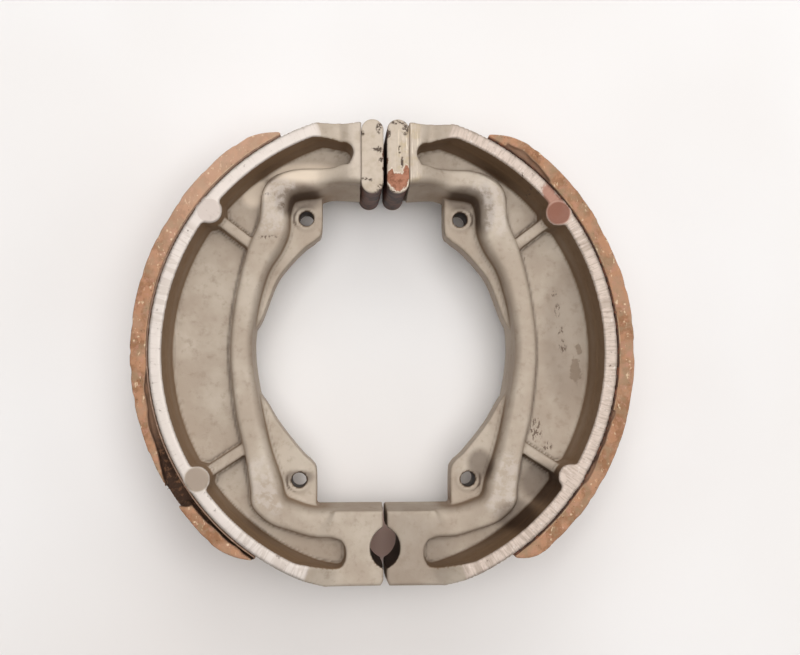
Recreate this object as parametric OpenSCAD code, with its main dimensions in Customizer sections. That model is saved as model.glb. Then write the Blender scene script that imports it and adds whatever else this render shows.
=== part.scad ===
// A pair of drum brake shoes laid together as they sit with the cam closed.
// The drum's centre is the origin in plan, Y runs from the anchor end up to the cam end,
// X runs across the pair and z = 0 is the face that the pair rests on.
// Both shoes are the same shoe: the left one is the right one turned over.

/* [Drum] */
// Inside diameter of the drum that the linings run in
drum_d = 130; // [110:1:160]
// Width of the shoes and linings along the axle
shoe_w = 28; // [23:0.5:40]
// How far each shoe lies inside its running place when the pair is closed
closed_shift = 2.3; // [1.6:0.1:3]

/* [Lining] */
// Thickness of the friction lining
lining_t = 4; // [2.5:0.1:6]
// Thickness of the adhesive film under the lining
bond_t = 0.3; // [0.2:0.05:0.5]
// Angle from the X axis to the lining's cam end
lining_top_a = 62.5; // [50:0.5:64]
// Angle from the X axis to the lining's anchor end
lining_low_a = 56; // [46:0.5:60]
// Angle over which each end of the lining tapers
lining_taper_a = 6.5; // [3:0.5:10]
// Thickness left at the tapered tips
lining_tip_t = 0.6; // [0.3:0.1:1.5]

/* [Casting] */
// Thickness of the rim under the lining
rim_t = 3.4; // [2.4:0.1:5]
// Radial width of the pocket between the rim and the inner rib at mid shoe
pocket_w = 15.5; // [12:0.5:17]
// Thickness of the inner rib at mid shoe
rib_t = 6.2; // [4:0.2:8]
// Thickness of the web that joins the rim to the inner rib
web_t = 8; // [5:0.5:10]
// Height along the axle of the inner rib and of both end blocks
block_t = 20; // [16:0.5:22]
// Height of the two radial stiffening ribs above each web face
stiffener_h = 5; // [2:0.5:5.5]
// Width of the radial stiffening ribs
stiffener_w = 2.8; // [1.6:0.2:5]
// Distance from the split to where the full width rim starts to slope down at each end
slope_top_x = 19.3; // [17:0.1:24]
// Distance from the split to the foot of that slope
slope_foot_x = 9; // [8.8:0.1:14]
// Radius of the round bosses on the rim
boss_r = 3.2; // [2:0.1:4.5]
// How far a boss is centred outside the rim's inner circle
boss_out = 0.3; // [0:0.1:1]
// Angle from the X axis to the boss nearer the cam
boss_top_a = 37.2; // [30:0.5:44]
// Angle from the X axis to the boss nearer the anchor
boss_low_a = 32.8; // [26:0.5:40]

/* [Cam end] */
// How far the cam arm's outer flat sits inside the rim's circle
cam_cut = 3.3; // [2:0.1:5]
// Height of the cam arm from its outer flat to its inner edge
cam_arm_h = 15.8; // [14:0.2:19]
// Thickness of the hardened cam plate
cam_plate_t = 5.6; // [4:0.1:7]
// Length of the cam plate
cam_plate_l = 18.7; // [16:0.1:22]
// How far the cam plate stands past the arm's outer flat
cam_plate_proud = 0.8; // [0.2:0.1:1.5]
// Gap left between the two cam plates when the pair is closed
cam_gap = 0.8; // [0.4:0.1:2]
// Thickness of the casting wall behind the cam plate
cam_wall = 2.3; // [1.5:0.1:4]
// Height of the pocket in the cam arm, from its foot to its outer edge
cam_pocket_h = 6; // [4:0.2:7]
// Height of the inner rib where it runs along the cam arm
arm_rib = 5.6; // [4:0.2:7]
// Width of the tongue that keys the cam plate into the casting
key_w = 8; // [4:0.5:10]
// Thickness of that tongue along the axle
key_t = 4; // [2:0.5:6]
// How far the tongue reaches into the casting
key_l = 4; // [2:0.5:6]

/* [Anchor end] */
// Diameter of the anchor pin that the shoes turn on
pin_d = 11; // [9:0.1:14]
// How far each shoe's pin seat is centred past the split
pin_past = 1.84; // [1:0.05:2.2]
// Distance from the pin's axis to the outer flat of the anchor end
pin_edge = 9.45; // [8.4:0.05:12]
// Distance from the pin's axis to the inner edge of the anchor end
pin_inner = 9.15; // [8.4:0.05:12]
// How far the anchor end's outer flat sits inside the rim's circle
anchor_cut = 2.5; // [2:0.1:5]
// Gap between the two anchor ends when the pair is closed
split_gap = 0.64; // [0.5:0.02:1.2]
// Distance from the split to the pocket in the anchor end
anchor_wall = 10.1; // [9.9:0.1:13]
// Height of the pocket in the anchor end, from its foot to its outer edge
anchor_pocket_h = 6.3; // [4:0.1:7]
// Height of the inner rib where it runs along the anchor end
anchor_rib = 7.6; // [6:0.2:9]
// Width of the chamfer on the outer corner at the split
corner_x = 0.7; // [0.3:0.1:1.5]
// Height of that chamfer
corner_y = 1.4; // [1:0.1:2.5]

/* [Spring ears] */
// Diameter of the return spring holes
spring_hole_d = 3.6; // [2.5:0.1:4.5]
// Diameter of the low ring around each spring hole
spring_ring_d = 6.2; // [5.6:0.1:7]
// Height of that ring above the ear
spring_ring_h = 0.4; // [0.2:0.1:1]
// Distance from the split to the straight edge of the upper ear
ear_top_x = 15.7; // [14:0.1:17]
// Distance from the split to the straight edge of the lower ear
ear_low_x = 17; // [15:0.1:18]

/* [Hidden] */

$fn = 96;
cut = 1;                       // overrun of every cutting solid past the faces it cuts
curve_steps = 4;               // segments between two points of a smooth outline

// radii about the drum's centre
lining_r = drum_d / 2;
lining_in = lining_r - lining_t;
rim_r = lining_in - bond_t;
rim_in = rim_r - rim_t;

// heights along the axle
mid_z = shoe_w / 2;

// levels along Y
cam_y = rim_r - cam_cut;
arm_in = cam_y - cam_arm_h;
anchor_y = -(rim_r - anchor_cut);
pin_y = anchor_y + pin_edge;
anchor_in = pin_y + pin_inner;
plate_top = cam_y + cam_plate_proud;
plate_mid = plate_top - cam_plate_l / 2;

// levels along X, measured outwards from the split
split_x = split_gap / 2;
plate_x = cam_gap / 2;
plate_back = plate_x + cam_plate_t;
cam_pocket_x = plate_back + cam_wall;
rib_out = rim_in - closed_shift - pocket_w;
rib_in = rib_out - rib_t;
arm_foot = arm_in + arm_rib;
anchor_foot = anchor_in - anchor_rib;
cam_roof = arm_foot + cam_pocket_h;
anchor_roof = anchor_foot - anchor_pocket_h;

// pieces of the casting that end inside one another overlap by this much
bury = 2.5;
fine = 180;                    // segments of the large circles
coarse = 48;                   // segments of the small ones
rim_line = rim_in + rim_t / 2; // middle of the rim
pocket_top_a = 62;             // the pocket's edge leaves the rim at these two angles
pocket_low_a = 58;

// Point on a circle about the shoe's own drum centre
function polar(r, a) = [r * cos(a) - closed_shift, r * sin(a)];

// Arc of points on such a circle
function arc(r, from, to, steps) =
    [for (i = [0 : steps]) polar(r, from + (to - from) * i / steps)];

// One point of a Catmull-Rom span
function span(a, b, c, d, t) =
    0.5 * (2 * b + (c - a) * t + (2 * a - 5 * b + 4 * c - d) * t * t
           + (3 * b - a - 3 * c + d) * t * t * t);

// Smooth open curve through a list of points
function smooth(p) = let (last = len(p) - 1) [
    for (i = [0 : last - 1])
        for (k = [0 : curve_steps - 1])
            span(p[max(i - 1, 0)], p[i], p[i + 1], p[min(i + 2, last)], k / curve_steps),
    p[last]
];

// Hub side of the cam arm, the inner rib and the anchor end, from cam to anchor
hub_side = smooth([
    [plate_back, arm_in],
    [plate_back + 6.5, arm_in + 0.6],
    [ear_top_x + 1.5, arm_in - 0.6],
    [rib_in - 11.6, arm_in - 1.3],
    [rib_in - 9.2, arm_in - 3.2],
    [rib_in - 9, arm_in - 10.5],
    [rib_in - 7.2, arm_in - 15.4],
    [rib_in - 3.6, arm_in - 21.6],
    [rib_in - 0.9, arm_in - 31.6],
    [rib_in, 0],
    [rib_in - 1.8, anchor_in + 27.4],
    [rib_in - 4.4, anchor_in + 16],
    [rib_in - 7.2, anchor_in + 7.6],
    [rib_in - 8.2, anchor_in + 3.3],
    [rib_in - 10.4, anchor_in + 1.8],
    [ear_low_x + 1, anchor_in + 0.2],
    [ear_low_x - 4, anchor_in]
]);

// Foot of the inner rib on the pocket side, from cam to anchor
rib_foot = smooth([
    [cam_pocket_x + 1, arm_foot],
    [rib_out - 17.8, arm_foot],
    [rib_out - 11, arm_foot - 2.3],
    [rib_out - 7.8, arm_foot - 6.6],
    [rib_out - 7, arm_foot - 14],
    [rib_out - 4, arm_foot - 21.6],
    [rib_out - 1.2, arm_foot - 34],
    [rib_out, 0],
    [rib_out - 1.3, anchor_foot + 32.8],
    [rib_out - 3.7, anchor_foot + 22],
    [rib_out - 5, anchor_foot + 14],
    [rib_out - 5.7, anchor_foot + 8.4],
    [rib_out - 10, anchor_foot + 4],
    [rib_out - 16, anchor_foot + 1.7],
    [rib_out - 21.5, anchor_foot + 0.1],
    [anchor_wall + 1, anchor_foot]
]);

// Pocket edge round the anchor end and along it, from the rib to the rim
anchor_end = smooth([
    [anchor_wall + 1, anchor_foot],
    [anchor_wall, anchor_foot - 1.6],
    [anchor_wall, anchor_foot - 4.4],
    [anchor_wall + 1.6, anchor_roof],
    [anchor_wall + 8, anchor_roof + 1.2],
    polar(rim_line, -pocket_low_a)
]);

// Pocket edge along the cam arm and round its end, from the rim to the rib
cam_end = smooth([
    polar(rim_line, pocket_top_a),
    [cam_pocket_x + 9.8, cam_roof],
    [cam_pocket_x + 5, cam_roof - 0.5],
    [cam_pocket_x + 1, cam_roof - 1.6],
    [cam_pocket_x, cam_roof - 3.6],
    [cam_pocket_x + 1, arm_foot]
]);

// Free edges of the two spring ears, ending inside the inner rib
ear_top = smooth([
    [ear_top_x, arm_in - 2.6],
    [ear_top_x, arm_in - 10],
    [ear_top_x + 1.6, arm_in - 12.6],
    [ear_top_x + 4.7, arm_in - 15],
    [rib_in - 8.8, arm_in - 19.4],
    [rib_in - 5.7, arm_in - 24],
    [rib_in - 1.6, arm_in - 34.4],
    [rib_in + bury, arm_in - 36.4]
]);
ear_low = smooth([
    [ear_low_x, anchor_in - 1],
    [ear_low_x, anchor_in + 9],
    [ear_low_x + 0.9, anchor_in + 11.6],
    [ear_low_x + 3.4, anchor_in + 14],
    [rib_in - 8.9, anchor_in + 18.8],
    [rib_in - 6.1, anchor_in + 22.6],
    [rib_in - 2.4, anchor_in + 28.6],
    [rib_in + bury, anchor_in + 31.4]
]);

// Spring holes as [x, y]
spring_holes = [
    [ear_top_x + 4.1, arm_in - 7.2],
    [ear_low_x + 4.5, anchor_in + 7.3]
];

// Extrudes a plan shape to a height that is centred on mid width
module slab(h) {
    translate([0, 0, mid_z - h / 2]) linear_extrude(height = h) children();
}

// The same shoe turned over, which puts it on the left of the split
module turned_over() {
    translate([0, 0, shoe_w]) rotate([0, 180, 0]) children();
}

// Wedge about the shoe's drum centre, between two angles and reaching past every part
module sector(from, to) {
    reach = drum_d;
    polygon(concat([[-closed_shift, 0]], arc(reach, from, to, 6)));
}

// Everything inside the rim's circle, trimmed by the end flats and the end faces
module shoe_outline() {
    intersection() {
        shoe_circle(rim_r);
        polygon([
            [split_x + corner_x, anchor_y],
            [rim_r, anchor_y],
            [rim_r, cam_y],
            [plate_back, cam_y],
            [plate_back, 0],
            [split_x, 0],
            [split_x, anchor_y + corner_y]
        ]);
    }
}

// Open space on the hub side of the shoe
module hub_space() {
    polygon(concat(
        [[-cut, arm_in]],
        hub_side,
        [[split_x, anchor_in], [-cut, anchor_in]]
    ));
}

// Pocket between the rim and the inner rib
module pocket() {
    intersection() {
        shoe_circle(rim_in);
        polygon(concat(
            rib_foot,
            anchor_end,
            arc(rim_r, 2 - pocket_low_a, pocket_top_a - 2, 12),
            cam_end
        ));
    }
}

// Plates for the return springs, level with the web and buried in the rib and the end blocks
module ears() {
    polygon(concat(ear_top, [[rib_in + bury, arm_in - 12], [ear_top_x + 6, arm_in + 1]]));
    polygon(concat(ear_low, [[rib_in + bury, anchor_in + 8], [ear_low_x + 8, anchor_in - 1]]));
}

// Radial stiffener across the pocket at one boss, from inside the inner rib to the rim
module stiffener(a) {
    from = rib_out + closed_shift + bury;
    to = rim_line;
    rotate_about_shoe(a) translate([from, -stiffener_w / 2]) square([to - from, stiffener_w]);
}

// Turns a shape about the shoe's own drum centre
module rotate_about_shoe(a) {
    translate([-closed_shift, 0]) rotate(a) children();
}

// Side profile that slopes the rim down to the height of the end blocks
module rim_profile() {
    profile = [
        [slope_foot_x, mid_z - block_t / 2],
        [slope_top_x, 0],
        [drum_d, 0],
        [drum_d, shoe_w],
        [slope_top_x, shoe_w],
        [slope_foot_x, mid_z + block_t / 2]
    ];
    translate([0, drum_d / 2, 0]) rotate([90, 0, 0]) linear_extrude(height = drum_d) polygon(profile);
}

// Circle about the shoe's own drum centre
module shoe_circle(r) {
    translate([-closed_shift, 0]) circle(r = r, $fn = fine);
}

// Wall behind the cam plate, which stands level with the plate
module plate_wall() {
    translate([plate_back, arm_in]) square([cam_wall, cam_y - arm_in]);
}

// One aluminium shoe: rim, web, inner rib, end blocks, ears, bosses and stiffeners
module casting() {
    difference() {
        union() {
            // rim at full width, sloping down to both end blocks
            intersection() {
                slab(shoe_w) difference() {
                    shoe_outline();
                    shoe_circle(rim_in);
                }
                rim_profile();
            }
            slab(shoe_w) plate_wall();
            // walls of both arms and the inner rib
            slab(block_t) difference() {
                shoe_outline();
                hub_space();
                pocket();
            }
            // web and ears
            slab(web_t) {
                difference() {
                    shoe_outline();
                    hub_space();
                }
                ears();
            }
            for (a = [boss_top_a, -boss_low_a]) {
                slab(shoe_w) intersection() {
                    rotate_about_shoe(a) translate([rim_in + boss_out, 0]) circle(r = boss_r, $fn = coarse);
                    shoe_circle(rim_r - rim_t / 4);
                }
                slab(web_t + 2 * stiffener_h) stiffener(a);
            }
            for (p = spring_holes)
                translate([p.x, p.y, mid_z - web_t / 2 - spring_ring_h])
                    cylinder(d = spring_ring_d, h = web_t + 2 * spring_ring_h, $fn = coarse);
        }
        // seat for the anchor pin
        translate([-pin_past, pin_y, -cut]) cylinder(d = pin_d, h = shoe_w + 2 * cut);
        // holes for the return springs
        for (p = spring_holes)
            translate([p.x, p.y, -cut]) cylinder(d = spring_hole_d, h = shoe_w + 2 * cut, $fn = coarse);
        cam_key();
    }
}

// Tongue of the cam plate, and the hole that it leaves in the casting
module cam_key() {
    translate([plate_back, plate_mid - key_w / 2, mid_z - key_t / 2]) cube([key_l, key_w, key_t]);
}

// Hardened plate with round ends that the cam bears on
module cam_plate() {
    r = cam_plate_t / 2;
    straight = cam_plate_l - cam_plate_t;
    translate([plate_x + r, plate_mid, 0]) {
        translate([-r, -straight / 2, 0]) cube([cam_plate_t, straight, shoe_w]);
        for (s = [-1, 1]) translate([0, s * straight / 2, 0]) cylinder(r = r, h = shoe_w);
    }
    cam_key();
}

// Adhesive film between the rim and the lining
module bond() {
    slab(shoe_w) intersection() {
        difference() {
            shoe_circle(lining_in);
            shoe_circle(rim_r);
        }
        sector(-lining_low_a, lining_top_a);
    }
}

// Friction lining with a taper at each end
module lining() {
    tip_r = lining_in + lining_tip_t;
    past = 2;                  // the tapering cuts run this far past the lining
    slab(shoe_w) difference() {
        intersection() {
            difference() {
                shoe_circle(lining_r);
                shoe_circle(lining_in);
            }
            sector(-lining_low_a, lining_top_a);
        }
        for (end = [[lining_top_a, -1], [-lining_low_a, 1]]) polygon([
            polar(tip_r, end[0]),
            polar(lining_r, end[0] + end[1] * lining_taper_a),
            polar(lining_r + past, end[0] + end[1] * lining_taper_a),
            polar(lining_r + past, end[0] - end[1] * past),
            polar(tip_r, end[0] - end[1] * past)
        ]);
    }
}

// The nodes, one shoe's pieces and then the other's
module shoe_right() { color("#b3a594") casting(); }
module shoe_left() { color("#b8aa99") turned_over() casting(); }
module lining_right() { color("#a57d5e") lining(); }
module lining_left() { color("#a9805f") turned_over() lining(); }
module bond_right() { color("#4a3020") bond(); }
module bond_left() { color("#4a3020") turned_over() bond(); }
module cam_plate_right() { color("#c3b39f") cam_plate(); }
module cam_plate_left() { color("#c3b39f") turned_over() cam_plate(); }

shoe_left();
shoe_right();
lining_left();
lining_right();
bond_left();
bond_right();
cam_plate_left();
cam_plate_right();
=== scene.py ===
import logging
import math
from dataclasses import dataclass, field
from enum import Enum
from itertools import product
from typing import Sequence

import bpy
import numpy as np
from mathutils import Matrix, Vector


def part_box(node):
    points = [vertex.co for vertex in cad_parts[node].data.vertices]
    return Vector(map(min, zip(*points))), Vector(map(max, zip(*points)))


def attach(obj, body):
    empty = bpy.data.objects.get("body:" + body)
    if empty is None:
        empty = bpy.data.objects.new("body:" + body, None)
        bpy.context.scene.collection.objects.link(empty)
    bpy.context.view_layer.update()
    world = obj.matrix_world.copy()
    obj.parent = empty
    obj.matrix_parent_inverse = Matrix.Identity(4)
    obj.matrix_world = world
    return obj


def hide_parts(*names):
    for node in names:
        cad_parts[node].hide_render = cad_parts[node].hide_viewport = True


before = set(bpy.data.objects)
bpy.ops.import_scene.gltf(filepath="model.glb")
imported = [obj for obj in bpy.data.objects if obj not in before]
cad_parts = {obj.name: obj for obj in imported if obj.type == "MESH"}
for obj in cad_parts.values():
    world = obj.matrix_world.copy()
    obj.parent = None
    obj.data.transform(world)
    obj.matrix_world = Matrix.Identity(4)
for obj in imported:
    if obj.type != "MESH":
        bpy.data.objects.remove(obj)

# A pair of drum brake shoes that lie flat, their cam ends at the top. Each shoe is a casting, a
# bonded lining, the adhesive between them and a cam plate. Every solid is described by the distance
# to its surface, wrapped in a net of faces and dressed by a finish that reads values off its points.

LOG = logging.getLogger("brake_shoes")
MM = 0.001
Array = np.ndarray
Colour = tuple[float, float, float]
Point = tuple[float, float]


class Side(Enum):
    """Which shoe of the pair a piece belongs to."""

    LEFT = "left"
    RIGHT = "right"


# --------------------------------------------------------------------------- plan shapes


def smooth(points: Sequence[Point], steps: int = 6) -> list[Point]:
    """Draws a Catmull-Rom curve through a list of points.

    Args:
        points: The points that the curve passes through.
        steps: How many segments each span is cut into.

    Returns:
        The points along the curve, both ends included.
    """
    knots = np.array([points[0], *points, points[-1]], float)
    curve = []
    for a, b, c, d in zip(knots, knots[1:], knots[2:], knots[3:]):
        for t in np.arange(steps) / steps:
            bend = 2 * a - 5 * b + 4 * c - d
            twist = 3 * b - a - 3 * c + d
            curve.append(tuple(0.5 * (2 * b + (c - a) * t + bend * t**2 + twist * t**3)))
    curve.append(tuple(knots[-1]))
    return curve


def outline_distance(corners: Sequence[Point], x: Array, y: Array) -> Array:
    """Measures the signed distance from points to a closed outline.

    Args:
        corners: The outline's corners in order, in millimetres.
        x: The points' x values.
        y: The points' y values, in an array of the same shape.

    Returns:
        The distances, negative inside the outline.
    """
    ring = np.array(corners, float)
    nearest = np.full(x.shape, np.inf)
    inside = np.zeros(x.shape, bool)
    for (ax, ay), (bx, by) in zip(ring, np.roll(ring, -1, axis=0)):
        ex, ey = bx - ax, by - ay
        length_sq = ex * ex + ey * ey
        if length_sq < 1e-12:
            continue
        px, py = x - ax, y - ay
        t = np.clip((px * ex + py * ey) / length_sq, 0, 1)
        nearest = np.minimum(nearest, (px - t * ex) ** 2 + (py - t * ey) ** 2)
        if ay != by:
            crosses = (ay > y) != (by > y)
            inside ^= crosses & (px < ex * py / ey)
    return np.where(inside, -1.0, 1.0) * np.sqrt(nearest)


def smoothstep(low: float, high: float, value: Array) -> Array:
    """Eases from 0 to 1 as value goes from low to high."""
    t = np.clip((value - low) / (high - low), 0, 1)
    return t * t * (3 - 2 * t)


def round_union(a: Array, b: Array, radius: float | Array) -> Array:
    """Joins two solids' distances with a fillet of the given radius."""
    gap = np.hypot(np.maximum(radius - a, 0), np.maximum(radius - b, 0))
    return np.maximum(radius, np.minimum(a, b)) - gap


def round_cut(a: Array, b: Array, radius: float | Array) -> Array:
    """Keeps what two solids share, with the edge between them rounded."""
    gap = np.hypot(np.maximum(radius + a, 0), np.maximum(radius + b, 0))
    return np.minimum(-radius, np.maximum(a, b)) + gap


def lumps(x: Array, y: Array, z: Array, size: float, seed: int) -> Array:
    """Makes smooth random unevenness in space.

    Args:
        x: The points' x values.
        y: The points' y values.
        z: The points' z values.
        size: Width of one lump, in the same unit as the points.
        seed: Picks one of many patterns.

    Returns:
        Values from -1 to 1.
    """
    x, y, z = np.broadcast_arrays(x / size, y / size, z / size)
    cell = [np.floor(v).astype(np.int64) for v in (x, y, z)]
    part = [v - c for v, c in zip((x, y, z), cell)]
    ease = [p * p * (3 - 2 * p) for p in part]
    total = np.zeros(x.shape)
    for corner in product((0, 1), repeat=3):
        mixed = seed * 2654435761
        for c, step, prime in zip(cell, corner, (374761393, 668265263, 1442695041)):
            mixed = mixed + (c + step) * prime
        mixed = (mixed ^ (mixed >> 13)) * 1274126177 & 0xFFFFFFFF
        value = ((mixed ^ (mixed >> 16)) & 0xFFFF) / 32767.5 - 1
        weight = 1.0
        for e, step in zip(ease, corner):
            weight = weight * (e if step else 1 - e)
        total += value * weight
    return total


def spots(x: Array, y: Array, table: Sequence[tuple[float, float, float, float]]) -> Array:
    """Makes soft oval patches.

    Args:
        x: The points' x values.
        y: The points' y values.
        table: Centre, half width and half height of each patch.

    Returns:
        1 at the middle of a patch, falling evenly to 0 at its border.
    """
    near = np.zeros(x.shape)
    for middle_x, middle_y, wide, tall in table:
        near = np.maximum(near, 1 - np.hypot((x - middle_x) / wide, (y - middle_y) / tall))
    return near


class PlanField:
    PITCH = 0.2

    def __init__(self, corners: Sequence[Point], low: Point, high: Point) -> None:
        """Samples the outline's distance.

        Args:
            corners: The outline's corners, in millimetres.
            low: Lowest x and y that will be asked for.
            high: Highest x and y that will be asked for.
        """
        self.low = low
        count = [int((h - lo) / self.PITCH) + 2 for lo, h in zip(low, high)]
        x = low[0] + self.PITCH * np.arange(count[0])[:, None]
        y = low[1] + self.PITCH * np.arange(count[1])[None, :]
        x, y = np.broadcast_arrays(x, y)
        self.table = outline_distance(corners, x, y)

    def __call__(self, x: Array, y: Array) -> Array:
        """Looks the distance up at points, between the grid's own points.

        Args:
            x: The points' x values, in millimetres.
            y: The points' y values.

        Returns:
            The distances, negative inside the outline.
        """
        x, y = np.broadcast_arrays(x, y)
        u = np.clip((x - self.low[0]) / self.PITCH, 0, self.table.shape[0] - 1.001)
        v = np.clip((y - self.low[1]) / self.PITCH, 0, self.table.shape[1] - 1.001)
        i, j = u.astype(int), v.astype(int)
        u, v = u - i, v - j
        near = self.table[i, j] * (1 - u) + self.table[i + 1, j] * u
        far = self.table[i, j + 1] * (1 - u) + self.table[i + 1, j + 1] * u
        return near * (1 - v) + far * v


# --------------------------------------------------------------------------- solids to meshes


@dataclass
class Skin:
    """A closed surface: its points, its outward normals and its four-sided faces."""

    points: Array
    normals: Array
    faces: Array


class Solid:
    """A solid described by the distance to its surface, in the right shoe's place."""

    step: float = 0.45
    quick_step: float = 0.8
    ROUNDS = 4
    PULLS = 2
    EVEN_SHARE = 0.5
    MARGIN = 1.5

    def distance(self, x: Array, y: Array, z: Array) -> Array:
        """Distance to the surface, negative inside."""
        raise NotImplementedError

    def reach(self) -> tuple[Array, Array]:
        """Lowest and highest corner of the space that holds the solid."""
        raise NotImplementedError

    def relief(self, x: Array, y: Array, z: Array) -> Array:
        """How far the surface is raised by fine unevenness."""
        return np.zeros(x.shape)

    def marks(self, skin: Skin) -> dict[str, Array]:
        """Named values from 0 to 1 that the finish reads at each point."""
        return {}

    def slope(self, points: Array, probe: float = 0.06) -> tuple[Array, Array]:
        """Measures the distance and its gradient at points.

        Args:
            points: The points, one row each.
            probe: Half the length over which the gradient is taken.

        Returns:
            The distances, and the gradients with one row each.
        """
        here = self.distance(*points.T)
        rows = []
        for axis in range(3):
            ahead, behind = points.copy(), points.copy()
            ahead[:, axis] += probe
            behind[:, axis] -= probe
            rows.append((self.distance(*ahead.T) - self.distance(*behind.T)) / (2 * probe))
        return here, np.stack(rows, axis=1)

    def closeness(self, skin: Skin, reaches: Sequence[float], sign: int) -> Array:
        """Measures how soon another surface is met along the normals.

        Args:
            skin: The surface.
            reaches: How far to look, in millimetres.
            sign: 1 looks outwards, which finds hollows, and -1 inwards, which finds crests.

        Returns:
            0 in the open, up to 1 next to another surface.
        """
        near = np.zeros(len(skin.points))
        for reach in reaches:
            gap = sign * self.distance(*(skin.points + sign * reach * skin.normals).T)
            near += np.clip(1 - gap / reach, 0, 1) / len(reaches)
        return near

    def skin(self) -> Skin:
        """Wraps the solid in an even net of four-sided faces.

        Returns:
            The surface, with every point on the true shape.
        """
        step = self.step
        low, high = self.reach()
        low = low - self.MARGIN * step
        count = np.ceil((high - low) / step).astype(int) + 3
        axes = [low[k] + step * np.arange(count[k]) for k in range(3)]
        values = self.distance(axes[0][:, None, None], axes[1][None, :, None], axes[2][None, None, :])
        points, faces = net(values)
        points = low + points * step
        for turn in range(self.ROUNDS):
            if turn < self.ROUNDS - 1:
                points = even_out(points, faces, self.EVEN_SHARE)
            for _ in range(self.PULLS):
                here, slope = self.slope(points)
                size = np.maximum((slope**2).sum(1), 0.25)
                move = np.clip(here / size, -step, step)
                points = points - move[:, None] * slope
        _, slope = self.slope(points)
        normals = slope / np.maximum(np.linalg.norm(slope, axis=1), 1e-6)[:, None]
        points = points + normals * self.relief(*points.T)[:, None]
        return Skin(points, normals, faces)


def net(values: Array) -> tuple[Array, Array]:
    """Places one point in each cell that the surface crosses and joins them.

    Args:
        values: Distances on a grid, negative inside.

    Returns:
        The points in grid units, and the four-sided faces that turn outwards.
    """
    inside = values < 0
    size = np.array(values.shape) - 1
    filled = sum(
        inside[i : size[0] + i, j : size[1] + j, k : size[2] + k].astype(np.int8)
        for i, j, k in product((0, 1), repeat=3)
    )
    active = (filled > 0) & (filled < 8)
    cells = np.argwhere(active)
    number = np.full(active.shape, -1, np.int64)
    number[active] = np.arange(len(cells))
    total = np.zeros((len(cells), 3))
    found = np.zeros(len(cells))
    for axis in range(3):
        for pair in product((0, 1), repeat=2):
            start = np.insert(np.array(pair), axis, 0)
            end = np.insert(np.array(pair), axis, 1)
            a = values[tuple((cells + start).T)]
            b = values[tuple((cells + end).T)]
            cut = (a < 0) != (b < 0)
            t = a[cut] / (a[cut] - b[cut])
            total[cut] += start + t[:, None] * (end - start)
            found[cut] += 1
    points = cells + total / found[:, None]
    faces = []
    for axis in range(3):
        ahead = np.roll(inside, -1, axis)
        edges = inside != ahead
        index = [slice(1, -1)] * 3
        index[axis] = slice(0, -1)
        keep = np.zeros_like(edges)
        keep[tuple(index)] = edges[tuple(index)]
        at = np.argwhere(keep)
        one, two = (axis + 1) % 3, (axis + 2) % 3
        ring = []
        for back_one, back_two in ((0, 0), (1, 0), (1, 1), (0, 1)):
            cell = at.copy()
            cell[:, one] -= back_one
            cell[:, two] -= back_two
            ring.append(number[tuple(cell.T)])
        quads = np.stack(ring, axis=1)
        leaving = inside[tuple(at.T)]
        quads[~leaving] = quads[~leaving][:, ::-1]
        faces.append(quads)
    return points, np.concatenate(faces)


def even_out(points: Array, faces: Array, amount: float) -> Array:
    """Moves every point part of the way to the middle of its neighbours.

    Args:
        points: The points, one row each.
        faces: The four-sided faces.
        amount: Share of the way that each point moves.

    Returns:
        The moved points.
    """
    a = faces.ravel()
    b = np.roll(faces, -1, axis=1).ravel()
    count = np.bincount(a, minlength=len(points)) + np.bincount(b, minlength=len(points))
    middle = np.empty_like(points)
    for axis in range(3):
        total = np.bincount(a, points[b, axis], len(points))
        total += np.bincount(b, points[a, axis], len(points))
        middle[:, axis] = total / np.maximum(count, 1)
    return points + amount * (middle - points)


def mesh_object(
    name: str, points: Array, faces: Sequence[Sequence[int]] | Array, marks: dict[str, Array]
) -> bpy.types.Object:
    """Makes a smooth-shaded mesh object.

    Args:
        name: The object's name.
        points: The points in metres, one row each.
        faces: The faces as rows of point numbers.
        marks: Values to keep on the points, by name.

    Returns:
        The new object, linked to the scene.
    """
    mesh = bpy.data.meshes.new(name)
    mesh.from_pydata(points.tolist(), [], np.asarray(faces).tolist())
    mesh.validate()
    mesh.update()
    mesh.shade_smooth()
    for key, values in marks.items():
        layer = mesh.attributes.new(key, "FLOAT", "POINT")
        layer.data.foreach_set("value", np.ascontiguousarray(values, np.float32))
    piece = bpy.data.objects.new(name, mesh)
    bpy.context.scene.collection.objects.link(piece)
    return piece


# --------------------------------------------------------------------------- sizes


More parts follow.
